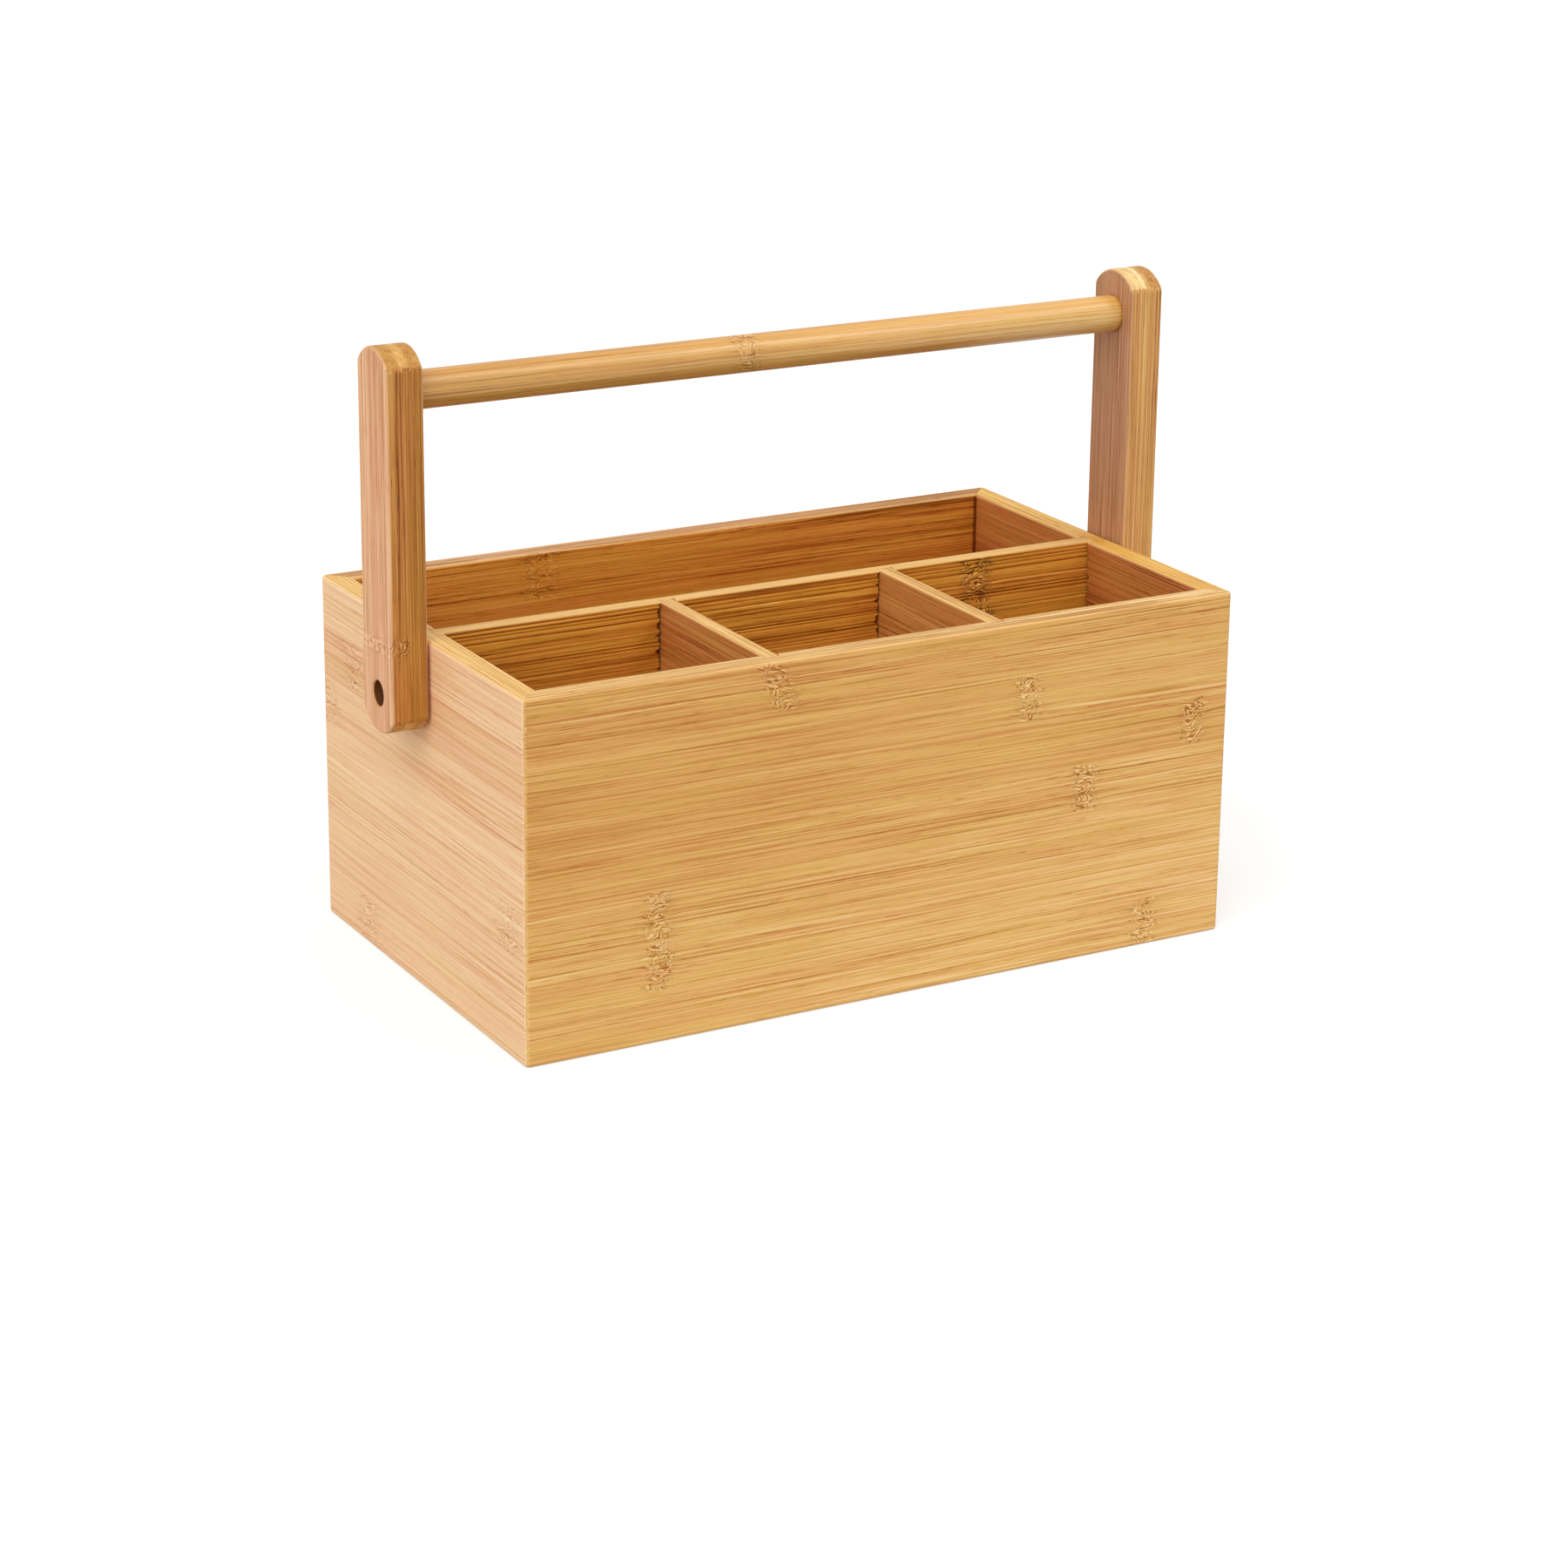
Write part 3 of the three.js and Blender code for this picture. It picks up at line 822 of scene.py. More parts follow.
def bamboo(name, grain, stack, strips, colours, foot=0.0, strip=CANE_STRIP, seed=0, contrast=1.0,
           knot=(1.0, 1.0), relief=1.0, paling=0.0, lacquer=MATT_LACQUER,
           second_ply=None, inside=None, top=None, worn=None, broad=None, ends=None):
    """A bamboo material. Colours, second ply, inside, top, broad and ends are ramps from dark
    line to pale. Worn is the colour of worn edges and how much of it shows. Knot is how wide
    and how strong a knuckle is. Paling is how much lighter the wood gets in each metre along
    the grain. Lacquer is its roughness over the lines and between them, and its strength."""
    material, tree = new_material(name)
    axes = along, up, through = wood_axes(tree, grain, stack)
    level = add(tree, "Math DIVIDE", [add(tree, "Math SUBTRACT", [up, foot]), strip])
    within = add(tree, "Math FRACT", [level])
    middle, tone_shift, lean = strip_facts(tree, level, strips)
    chance = strip_chances(tree, level, seed)
    near_it, marks = knuckle(tree, axes, within, middle, lean, seed, *knot)
    spot = fibre_course(tree, axes, near_it, chance, seed)

    tone = add(tree, "MapRange", [chance[2], 0, 1, *STRIP_TONES])
    tone = add(tree, "Math ADD", [tone, tone_shift])
    tone = add(tree, "Math MULTIPLY_ADD", [along, paling * MM, tone])
    smudge = add(tree, "Math MULTIPLY", [near_it, stretched_noise(tree, spot, *SMUDGE)])
    # painted shade: in the slots and their chips, in the furrows, in the mitres' inner corners, in
    # the bores and where the bar enters the arms
    hollow = add(tree, "Attribute", attribute_name="hollow").outputs["Fac"]
    hollow = add(tree, "Math MULTIPLY", [hollow, PAINTED_SHADE_TONE])
    for part in (smudge, grain_tone(tree, spot, contrast), marks, hollow):
        tone = add(tree, "Math ADD", [tone, part])

    normal = add(tree, "SeparateXYZ", [add(tree, "TexCoord").outputs["Normal"]]).outputs
    colour = add(tree, "ValToRGB", [tone], stops=colours)
    if second_ply:
        share = add(tree, "MapRange SMOOTHSTEP", [level, *NEXT_PLY])
        colour = lay_over(tree, colour, share, tone, second_ply)
    if inside:
        share = add(tree, "Attribute", attribute_name="inside").outputs["Fac"]
        colour = lay_over(tree, colour, share, tone, inside)
    if broad:
        sideways = add(tree, "Math ABSOLUTE", [normal["X"]])
        share = add(tree, "MapRange SMOOTHSTEP", [sideways, *SIDEWAYS])
        colour = lay_over(tree, colour, share, tone, broad)
    hue = stretched_noise(tree, spot, *HUE_DRIFT)
    colour = add(tree, "HueSaturation", {"Hue": hue, "Color": colour})
    if ends:
        end_tone = end_grain_tone(tree, up, through, level, tone_shift)
        end_tone = add(tree, "Math ADD", [end_tone, hollow])
        upright = add(tree, "Math ABSOLUTE", [normal["Z"]])
        share = add(tree, "MapRange SMOOTHSTEP", [upright, *ENDWAYS])
        colour = lay_over(tree, colour, share, end_tone, ends)
    if top:
        share = add(tree, "MapRange SMOOTHSTEP", [normal["Z"], *UPWARDS])
        colour = lay_over(tree, colour, share, tone, top)
    if worn:
        mark = add(tree, "Attribute", attribute_name="worn").outputs["Fac"]
        share = add(tree, "Math MULTIPLY", [mark, worn[1]])
        colour = add(tree, "Mix", [share, colour, linear(worn[0])], data_type="RGBA")

    rough = add(tree, "MapRange", [tone, *ROUGH_TONES, *lacquer[:2]])
    height = add(tree, "Math MULTIPLY_ADD", [marks, KNUCKLE_RELIEF, tone])
    bump = {"Strength": BUMP_STRENGTH * relief, "Distance": BUMP_DEPTH * MM, "Height": height}
    wood = {"Base Color": colour, "Roughness": rough, "IOR": LACQUER_IOR,
            "Specular IOR Level": lacquer[2], "Normal": add(tree, "Bump", bump)}
    add(tree, "OutputMaterial", [add(tree, "BsdfPrincipled", wood)])
    print(f"{name}: {len(strips)} strips, {len(tree.nodes)} nodes")
    return material


# %% [markdown]
# ## The walls
#
# The four walls are cut from boards of the same make. Three are golden outside, and the left
# one is paler and pinker, partly from its stock and partly by painted light on the face turned
# to the left. All of them are browner inside, partly in their own colour and partly in painted
# shade for the box's shadowed inside. Five colours each, from the darkest line to the palest
# wood, are enough for that, and one recipe with other colours is easier to keep alike than
# four recipes. The front's knuckles stand where the real ones do: a row of (place, tone, lean)
# for each strip from the foot up says so.

# %% The walls' finish
ON_FACE = (0.0, 0.2, 0.42, 0.6, 0.85)
ON_TOP = (0.2, 0.38, 0.48, 0.56, 0.7)


def shades(codes, places=ON_FACE):
    """Colours from dark line to pale wood, each with its place on the scale of tones."""
    return list(zip(places, codes.split()))


GOLDEN = shades("#A4611F #C4843C #DAA458 #E7B66C #F5CE8F")
# the left wall's outside, paler and pinker partly in painted light from the left
PEACH = shades("#BC7643 #DC9E68 #EEBF8D #F6CE9F #FCDDB5")
# inside faces, browner partly in painted shade of the box's inside
UNLIT = shades("#7A3B04 #A65B12 #CE822C #E0963B #F2B057")
RUDDY = shades("#6B3007 #964E15 #BA702F #CA8140 #DA975B")
# rim tops: the board's edge grain, creamier partly in painted light from above
CREAM_TOP = shades("#B07634 #D09F59 #E3B771 #EDC785 #F4DBA8", ON_TOP)
TAN_TOP = shades("#93602F #B98350 #CB9764 #D5A474 #E3BC92", ON_TOP)
GOLD_TOP = shades("#9A6618 #C58B2E #DAA142 #E6B254 #F0C675", ON_TOP)
PALE_GOLD_TOP = shades("#AE702A #CE984A #E1AF5F #ECC071 #F4D590", ON_TOP)
SMOOTH_TOP = shades("#C08B4A #D7A762 #E3B670 #E9BE79 #EDC581", ON_TOP)
WORN = ("#F3D294", 0.4)

front_strips = [(95, 0.09, 0), (-80.5, 0.08, 0), (-81, 0.05, 0), (71, -0.01, 0), (111, -0.03, 0),
                (49, -0.06, 0), (-40, -0.06, -0.45)]
side_strips = [(41, 0, 0), (NO_KNUCKLE, 0.02, 0), (-64.5, 0, 0), (NO_KNUCKLE, 0.02, 0),
               (71, -0.05, 0), (49, -0.12, 0), (NO_KNUCKLE, 0.02, 0)]
back_strips = [(spot, 0, 0) for spot in (60, -90, 20, NO_KNUCKLE, 45, -108, -51)]
# planed and lacquered matt: fine brown lines on warm yellow that gets paler to the right
front_wood = bamboo("laminated_bamboo_golden", "X", "Z", front_strips, GOLDEN, seed=3,
                    paling=0.5, inside=UNLIT, top=CREAM_TOP, worn=WORN)
# the same board under thinner lacquer: no gloss, amber inside, wide and weak knuckles
back_wood = bamboo("laminated_bamboo_amber", "X", "Z", back_strips, GOLDEN, seed=23,
                   paling=-0.9, knot=(1.4, 0.6), lacquer=THIN_LACQUER,
                   inside=UNLIT, top=TAN_TOP, worn=WORN)
# pale stock, with painted pink light from the left: soft lines on peach, with knuckles that are
# little more than clouds
left_wood = bamboo("laminated_bamboo_peach", "Y", "Z", side_strips, PEACH, seed=40,
                   contrast=0.8, knot=(1.7, 0.55), inside=RUDDY, top=PALE_GOLD_TOP, worn=WORN)
# golden outside, ruddy inside where it faces the bays, partly painted shade and pink light from the
# left
right_wood = bamboo("laminated_bamboo_ochre", "Y", "Z", side_strips, GOLDEN, seed=60,
                    inside=RUDDY, top=GOLD_TOP, worn=WORN)
print("wall finishes:", front_wood.name, back_wood.name, left_wood.name, right_wood.name)

# %% [markdown]
# All four walls share one section with a groove for the floor. Each could be drawn where it
# stands, but it is simpler to make it lying along X with its outer face in front, and then to
# turn it and move it to its side of the box. Slots are a little wider than the boards they
# take, as a joiner leaves them for the glue.

# %% Build the walls
GROOVE = [
    (WALL, FLOOR_TOP + SLOT_GAP), (WALL - FLOOR_GROOVE, FLOOR_TOP + SLOT_GAP),
    (WALL - FLOOR_GROOVE, floor_low[2] - SLOT_GAP), (WALL, floor_low[2] - SLOT_GAP),
]
wall_section = board_section(WALL, 0, HEIGHT, RIM_EASE, RIM_EASE, GROOVE)
cross_slots = [(side * CROSS_X, CROSS_THICKNESS + 2 * SLOT_GAP, WALL_SLOT) for side in (-1, 1)]
long_slot = [(0, LONG_THICKNESS + 2 * SLOT_GAP, WALL_SLOT)]

front = board("front_board", wall_section, HALF_WIDTH, True, cross_slots, seed=1)
back = board("back_board", wall_section, HALF_WIDTH, True)
left = board("left_board", wall_section, HALF_DEPTH, True, long_slot, seed=11)
right = board("right_board", wall_section, HALF_DEPTH, True, long_slot, seed=21)
place(front, 0, 0, -HALF_DEPTH)
place(back, 180, 0, HALF_DEPTH)
place(left, -90, -HALF_WIDTH, 0)
place(right, 90, HALF_WIDTH, 0)
print("points of the front board:", len(front.data.vertices))

# %% [markdown]
# The pivot screw goes through each end wall and bites into the long divider behind it. In the
# real box it cuts its own thread. Here the hole is a tenth of a millimetre wider than the
# screw, so that the two meshes never touch. It is drilled when the wall is in its place, so
# that both holes lie on one line.

# %% Drill the end walls and finish all four
PILOT_RADIUS = 1.85
PAST = 2.0


def drill_pilot(piece, start, end):
    """Drills a straight hole at the pivot's height, from one place along X to another."""
    radius = [0, PILOT_RADIUS, PILOT_RADIUS, 0]
    cut(piece, turned("pilot", radius, [start, start, end, end], (0, 0, PIVOT_HEIGHT), 32))


for wall, side in ((left, -1), (right, 1)):
    drill_pilot(wall, side * (HALF_WIDTH - WALL - PAST), side * (HALF_WIDTH + PAST))
for wall, wood, node in ((front, front_wood, "front_panel"), (back, back_wood, "back_panel"),
                         (left, left_wood, "left_panel"), (right, right_wood, "right_panel")):
    finish_piece(wall, wood, "box", node)

# %% [markdown]
# ## The dividers and the floor
#
# The dividers are thinner boards, left rougher. The long one shows the saw's marks as faint
# furrows on its front face. These could be painted on, but real furrows throw real shade, which
# painted shade deepens, and they are part of the mesh. They stand on the floor and end flush
# with the rim.

# %% The dividers' finish
# the dividers' ramps: partly painted shade of the box's inside
RIBBED = shades("#733802 #A25B0F #CE862B #E09A3B #F8C468")
PINKISH = shades("#7F3F16 #A55D26 #C37D3B #D18C49 #DFA15D")
long_strips = [(spot, 0.015, 0) for spot in (0, -60, 30, -100, 60, 75, 74)]
plain_strips = [(NO_KNUCKLE, 0, 0)] * STRIPS
# sawn and hardly sanded: dark orange, partly painted shade of the box's inside, with furrows along
# it that catch the light
long_wood = bamboo("sawn_bamboo_ribbed", "X", "Z", long_strips, RIBBED, seed=80, contrast=0.95,
                   relief=3.0, knot=(1.2, 0.9), lacquer=THIN_LACQUER, top=SMOOTH_TOP, worn=WORN)
# pinker without knuckles, partly its stock and partly painted shade and pink light on the faces
# turned to the left: even, close lines
cross_wood = bamboo("sawn_bamboo_pinkish", "Y", "Z", plain_strips, PINKISH, seed=120,
                    contrast=1.2, lacquer=THIN_LACQUER, top=SMOOTH_TOP, worn=WORN)
# sanded flat: the browns of the walls' insides, painted shade included, with strips that run side
# by side
floor_wood = bamboo("sanded_bamboo_floor", "X", "Y", plain_strips, UNLIT, foot=-HALF_DEPTH,
                    strip=2 * HALF_DEPTH / STRIPS, seed=150)
print("divider and floor finishes:", long_wood.name, cross_wood.name, floor_wood.name)

# %% [markdown]
# The same function makes these boards, only cut square instead of mitred. The long one has a
# slot for each cross divider, furrows on its front face, and a pilot hole in each end for the
# pivot screw. Both cross dividers are one board made twice, and the floor is a wide, low one.

# %% Build the dividers and the floor
long_section = board_section(LONG_THICKNESS, long_low[2], HEIGHT, DIVIDER_EASE, fine=0.25)
long_slots = [(side * CROSS_X, CROSS_THICKNESS + 2 * SLOT_GAP, DIVIDER_SLOT) for side in (-1, 1)]
long_board = board("long_divider_board", long_section, long_high[0], False, long_slots,
                   seed=31, furrowed=True)
place(long_board, 180, 0, long_high[1])
PILOT_DEPTH = 16.0
for side in (-1, 1):
    drill_pilot(long_board, side * (long_high[0] - PILOT_DEPTH), side * (long_high[0] + PAST))
finish_piece(long_board, long_wood, "box", "long_divider")

cross_section = board_section(CROSS_THICKNESS, cross_low[2], HEIGHT, DIVIDER_EASE, fine=5.0)
cross_half = (cross_high[1] - cross_low[1]) / 2
for side, x in (("left", -CROSS_X), ("right", CROSS_X)):
    cross_board = board(f"cross_divider_board_{side}", cross_section, cross_half)
    place(cross_board, -90, x - CROSS_THICKNESS / 2, (cross_high[1] + cross_low[1]) / 2)
    finish_piece(cross_board, cross_wood, "box", f"cross_divider_{side}")

FLOOR_EASE = 0.3
floor_depth = floor_high[1] - floor_low[1]
floor_section = board_section(floor_depth, floor_low[2], FLOOR_TOP, FLOOR_EASE, FLOOR_EASE,
                              fine=10.0)
floor_board = board("floor_board", floor_section, floor_high[0])
place(floor_board, 0, 0, floor_low[1])
finish_piece(floor_board, floor_wood, "box", "bottom_panel")

# %% [markdown]
# ## The arms
#
# Seen from the side, an arm is a straight strip with a wide arc across each end, and a small
# arc that leads from the edge into it. A Bevel modifier could ease its edges, but arcs do it
# exactly: drawing the outline smaller only takes the same amount from every radius, so the
# eased edge is the outline again and again, a little smaller and a little further out. Two
# plies of bamboo make the thickness.

# %% Arm outline and body
ARM_END_RADIUS = 13.5
ARM_CORNER_RADIUS = 3.0
ARM_EASE = 0.9
ARM_ROUND_STEPS = 8
ARM_END_STEPS = 24
ARM_SIDE_EVERY = 6.0


def arm_outline(inset):
    """(y, z) round the arm's side view, drawn in by the inset: two upright sides, an arc
    across each end, and a smaller arc at each corner that meets both smoothly."""
    corner_y = arm_high[1] - ARM_CORNER_RADIUS
    rise = math.sqrt((ARM_END_RADIUS - ARM_CORNER_RADIUS) ** 2 - corner_y**2)
    turn = math.degrees(math.atan2(rise, corner_y))
    middle = (arm_high[2] + arm_low[2]) / 2
    centre = (arm_high[2] - arm_low[2]) / 2 - ARM_END_RADIUS
    small, large = ARM_CORNER_RADIUS - inset, ARM_END_RADIUS - inset
    upper = np.concatenate([
        arc(corner_y, centre + rise, small, 0, turn, ARM_ROUND_STEPS),
        arc(0, centre, large, turn, 180 - turn, ARM_END_STEPS),
        arc(-corner_y, centre + rise, small, 180 - turn, 180, ARM_ROUND_STEPS),
    ])
    lower = -upper
    down = run(upper[-1], lower[0], ARM_SIDE_EVERY)
    back_up = run(lower[-1], upper[0], ARM_SIDE_EVERY)
    return np.concatenate([upper, down, lower, back_up]) + (0, middle)


def arm(name, side):
    """The outline carried through the thickness along X, with a quarter circle of ease at
    each broad face."""
    angle = np.linspace(0, math.pi / 2, 6)
    inset = ARM_EASE * (1 - np.sin(angle))
    sink = ARM_EASE * (1 - np.cos(angle))
    x = np.concatenate([arm_low[0] + sink, (arm_high[0] - sink)[::-1]])
    insets = np.concatenate([inset, inset[::-1]])
    worn = np.concatenate([np.sin(2 * angle), np.sin(2 * angle)[::-1]])
    rows = []
    for place_x, drawn_in in zip(x, insets):
        outline = arm_outline(drawn_in)
        rows.append(np.column_stack([np.full(len(outline), side * place_x), outline]))
    return skin(name, np.array(rows), worn=worn[:, None])


print("points round an arm:", len(arm_outline(0)))

# %% [markdown]
# From the front an arm shows the edges of its two plies side by side, and on the left arm they
# differ: the outer one is striped tan, the inner one deep orange. The broad faces are rosier,
# partly in painted pink light from the left, and the ends, cut across the fibres, show end
# grain with a pale band of glue in the middle.
# Each face could have a material of its own, but one that tells the faces apart by their
# direction also blends them over the eased edges.

# %% The arms' finish
ON_BROAD_FACE = (0.0, 0.2, 0.42, 0.5, 0.6, 0.85)
ON_END = (0.0, 0.3, 0.55, 0.8, 1.0)
STRIPED = shades("#6E380A #995A1E #B87633 #C98B44 #DBA860")
DEEP_ORANGE = shades("#65310A #8A4B0F #A96C26 #BB7F36 #CD9B50")
TAN = shades("#8A541E #B57B3B #CC9553 #DAA560 #EBBF7D")
# broad faces of the arms, rosy partly in painted pink light from the left
ROSY = shades("#A46836 #BE7E4D #DC9F70 #E4AB7E #EDB88E #F6CDA4", ON_BROAD_FACE)
DUSKY = shades("#804E28 #A16E44 #B78159 #C38F64 #D2A377")
END_GRAIN = shades("#57300F #9C6226 #C48E4A #E0B671 #F2D69C", ON_END)
TAN_END_GRAIN = shades("#5E3410 #96601F #BC853C #D5A258 #EBC98C", ON_END)
ARM_WORN = ("#E8BA8C", 0.4)
PLY = (arm_high[0] - arm_low[0]) / 2
OUTSIDE_PLY = 0.2
left_plies = [(115, -0.01, 0), (NO_KNUCKLE, -0.01, 0)]
right_plies = [(NO_KNUCKLE, 0.045, 0), (NO_KNUCKLE, -0.03, 0)]
# strong stripes on the edge, quiet rose on the broad face, partly painted pink light from the
# left. A knuckle fades out at its strip's edge, so the outer ply starts a little outside the
# arm and the knuckle shows faintly there
left_arm_wood = bamboo("laminated_bamboo_arm_left", "Z", "X", left_plies, STRIPED,
                       foot=-arm_high[0] - OUTSIDE_PLY, strip=PLY + OUTSIDE_PLY, seed=163,
                       contrast=1.15, knot=(0.6, 1.0), second_ply=DEEP_ORANGE,
                       broad=ROSY, ends=TAN_END_GRAIN, worn=ARM_WORN)
# duller stock without knuckles: tan edge, dusky rose face partly in painted pink light from the
# left, creamy ends
right_arm_wood = bamboo("laminated_bamboo_arm_right", "Z", "X", right_plies, TAN,
                        foot=arm_low[0], strip=PLY, seed=170, contrast=1.1,
                        broad=DUSKY, ends=END_GRAIN, worn=ARM_WORN)
print("arm finishes:", left_arm_wood.name, right_arm_wood.name)

# %% [markdown]
# Each arm is drilled from both sides. The screw's hole is stepped: wide and 8 mm deep from
# outside, so that head and washer sink out of sight, then just wide enough for the shank to
# turn. Near the top is the blind socket that the bar is glued into. The drill's mouth is
# softened with a small chamfer. The holes are painted darker, for the shade that falls inside
# them. A stepped hole can't be carried along with the outline, so each is cut by a turned
# cutter in the shape of its drill.

# %% Build the arms
COUNTERBORE_RADIUS = 4.0
COUNTERBORE_DEPTH = 8.0
SHANK_HOLE_RADIUS = 2.05
MOUTH_CHAMFER = 0.4
BAR_RADIUS = (bar_high[2] - bar_low[2]) / 2
SOCKET_RADIUS = BAR_RADIUS + SLOT_GAP
SOCKET_DEPTH = bar_high[0] - arm_low[0] + SLOT_GAP
seat, face = arm_high[0] - COUNTERBORE_DEPTH, arm_high[0]
HOLE = [
    (0, arm_low[0] - PAST), (SHANK_HOLE_RADIUS, arm_low[0] - PAST), (SHANK_HOLE_RADIUS, seat),
    (COUNTERBORE_RADIUS, seat), (COUNTERBORE_RADIUS, face - MOUTH_CHAMFER),
    (COUNTERBORE_RADIUS + MOUTH_CHAMFER + PAST, face + PAST), (0, face + PAST),
]
SOCKET = [
    (0, arm_low[0] - PAST), (SOCKET_RADIUS, arm_low[0] - PAST),
    (SOCKET_RADIUS, arm_low[0] + SOCKET_DEPTH), (0, arm_low[0] + SOCKET_DEPTH),
]


def paint_bore_shade(piece):
    """Marks all faces of a bore for painted shade: their middles are nearer to its axis than its
    radius, and don't lie on the arm's two broad faces."""
    middles = np.empty(3 * len(piece.data.polygons))
    piece.data.polygons.foreach_get("center", middles)
    x, y, z = middles.reshape(-1, 3).T / MM
    in_hole = np.hypot(y, z - PIVOT_HEIGHT) < COUNTERBORE_RADIUS
    in_socket = np.hypot(y, z - BAR_HEIGHT) < SOCKET_RADIUS
    within = (np.abs(x) > arm_low[0] + TOUCH) & (np.abs(x) < arm_high[0] - TOUCH)
    hollow = piece.data.attributes.new("hollow", "FLOAT", "FACE")
    hollow.data.foreach_set("value", ((in_hole | in_socket) & within).astype(np.float32))


for name, side, wood in (("left", -1, left_arm_wood), ("right", 1, right_arm_wood)):
    piece = arm(f"{name}_arm_board", side)
    for profile, height in ((HOLE, PIVOT_HEIGHT), (SOCKET, BAR_HEIGHT)):
        radius, along = np.array(profile).T
        cut(piece, turned("drill", radius, side * along, (0, 0, height)))
    paint_bore_shade(piece)
    finish_piece(piece, wood, "handle", f"handle_arm_{name}")


# %% [markdown]
# ## The bar
#
# A dowel turned from solid bamboo: one golden piece whose lines all run its length. Its ends
# are chamfered so that they start easily into the sockets, and a brown ring of painted shade
# darkens it where it enters them. Its top is painted a deeper orange, for the light that falls
# on it from above. A cylinder would have the shape, but the turning function also keeps a mark
# for that ring with its points.

# %% The bar
HONEY = shades("#8B5820 #B37F3A #D09C50 #DFB16A #EACA94")
# the bar's top: painted light from above, in a deeper orange
AMBER = shades("#915A1D #B97F33 #D59B4A #E3AE5D #EFCA8A")
BAR_STRIP = 16.0
BAR_CHAMFER = 0.5
SOCKET_SHADE_REACH = 1.6
# turned from one strip and rubbed by hands: honey with a satin gloss and one faint knuckle, with
# painted light from above on its top in amber
bar_wood = bamboo("turned_bamboo_bar", "X", "Z", [(-13.5, -0.03, 0)], HONEY,
                  foot=BAR_HEIGHT - BAR_STRIP / 2, strip=BAR_STRIP, seed=200, contrast=0.8,
                  knot=(0.9, 0.6), paling=0.9, lacquer=SATIN_LACQUER, top=AMBER)
end = bar_high[0]
mouth = arm_low[0]
along = np.array([mouth - SOCKET_SHADE_REACH, mouth, end - BAR_CHAMFER, end, end])
radius = np.array([BAR_RADIUS, BAR_RADIUS, BAR_RADIUS, BAR_RADIUS - BAR_CHAMFER, 0])
# painted shade where the bar enters a socket: full inside, gone a little way out
socket_shade = np.array([0.0, 0.6, 1.0, 1.0, 1.0])
along = np.concatenate([-along[::-1], along])
radius = np.concatenate([radius[::-1], radius])
socket_shade = np.concatenate([socket_shade[::-1], socket_shade])
bar = turned("grip_bar", radius, along, (0, 0, BAR_HEIGHT), 96, hollow=socket_shade[:, None])
finish_piece(bar, bar_wood, "handle", "handle_bar")

# %% [markdown]
# ## The pivot's hardware
#
# Each side has a wood screw with a cross recess, a washer under its head and a thin washer that
# keeps the arm off the wall. The steel is zinc plated: a bright, slightly bluish grey with fine
# cloudy variation. One metal without the clouds would look like plastic foil. The plating's
# crystals are finer than can be seen, so its clouds are drawn 1.5 mm wide, and the polishing
# scratches a quarter of a millimetre.

# %% Zinc-plated steel
CLOUD = 1.5
SCRATCH = 0.25
CLOUD_RANGE = (0.3, 0.7)
DULL, BRIGHT = 0.38, 0.26
zinc, tree = new_material("zinc_plated_steel")
spot = add(tree, "TexCoord").outputs["Object"]
cloud = add(tree, "TexNoise", [spot, 1 / (CLOUD * MM), 2.0])
tint = add(tree, "ValToRGB", [cloud], stops=zip(CLOUD_RANGE, ("#9FA1A2", "#C9CACA")))
rough = add(tree, "MapRange", [cloud, *CLOUD_RANGE, DULL, BRIGHT])
scratch = add(tree, "TexNoise", [spot, 1 / (SCRATCH * MM), 1.0])
bump = add(tree, "Bump", {"Strength": 0.15, "Distance": 0.01 * MM, "Height": scratch})
steel = {"Base Color": tint, "Metallic": 1.0, "Roughness": rough, "Normal": bump}
add(tree, "OutputMaterial", [add(tree, "BsdfPrincipled", steel)])
print("steel finish:", zinc.name)

# %% [markdown]
# A washer is punched from sheet, so its edges are a little round. Its section is walked round
# once and turned about the screw's line: a ring of rings, with no ends to cap. Blender's torus
# has a round section, and a washer's is a flat one.

# %% Washers
WASHER_ROUND = 0.2
WASHER_BORE = 2.1


def washer(name, node):
    """A ring whose section is a rectangle with round corners, turned about X."""
    low, high = extent(node)
    outer, middle = (high[2] - low[2]) / 2, (high[0] + low[0]) / 2
    half = (high[0] - low[0]) / 2 - WASHER_ROUND
    inner_arc, outer_arc = WASHER_BORE + WASHER_ROUND, outer - WASHER_ROUND
    centres = ((outer_arc, half), (inner_arc, half), (inner_arc, -half), (outer_arc, -half))
    corners = [arc(*centre, WASHER_ROUND, 90 * turn, 90 * turn + 90, 3)
               for turn, centre in enumerate(centres)]
    radius, along = np.concatenate(corners).T
    piece = turned(name, radius, along + middle, (0, 0, PIVOT_HEIGHT), 48, hoop_of_hoops=True)
    finish_piece(piece, zinc, "box", node)


for side in ("left", "right"):
    washer(f"washer_under_head_{side}", f"head_washer_{side}")
    washer(f"washer_on_wall_{side}", f"spacer_washer_{side}")


# %% [markdown]
# A screw could be built from a cone, a spiral sweep and a half ball, joined with booleans. It
# is one turned piece instead, whose radius also depends on the angle: the thread is a ridge
# whose place along the screw moves on by one pitch with every turn.

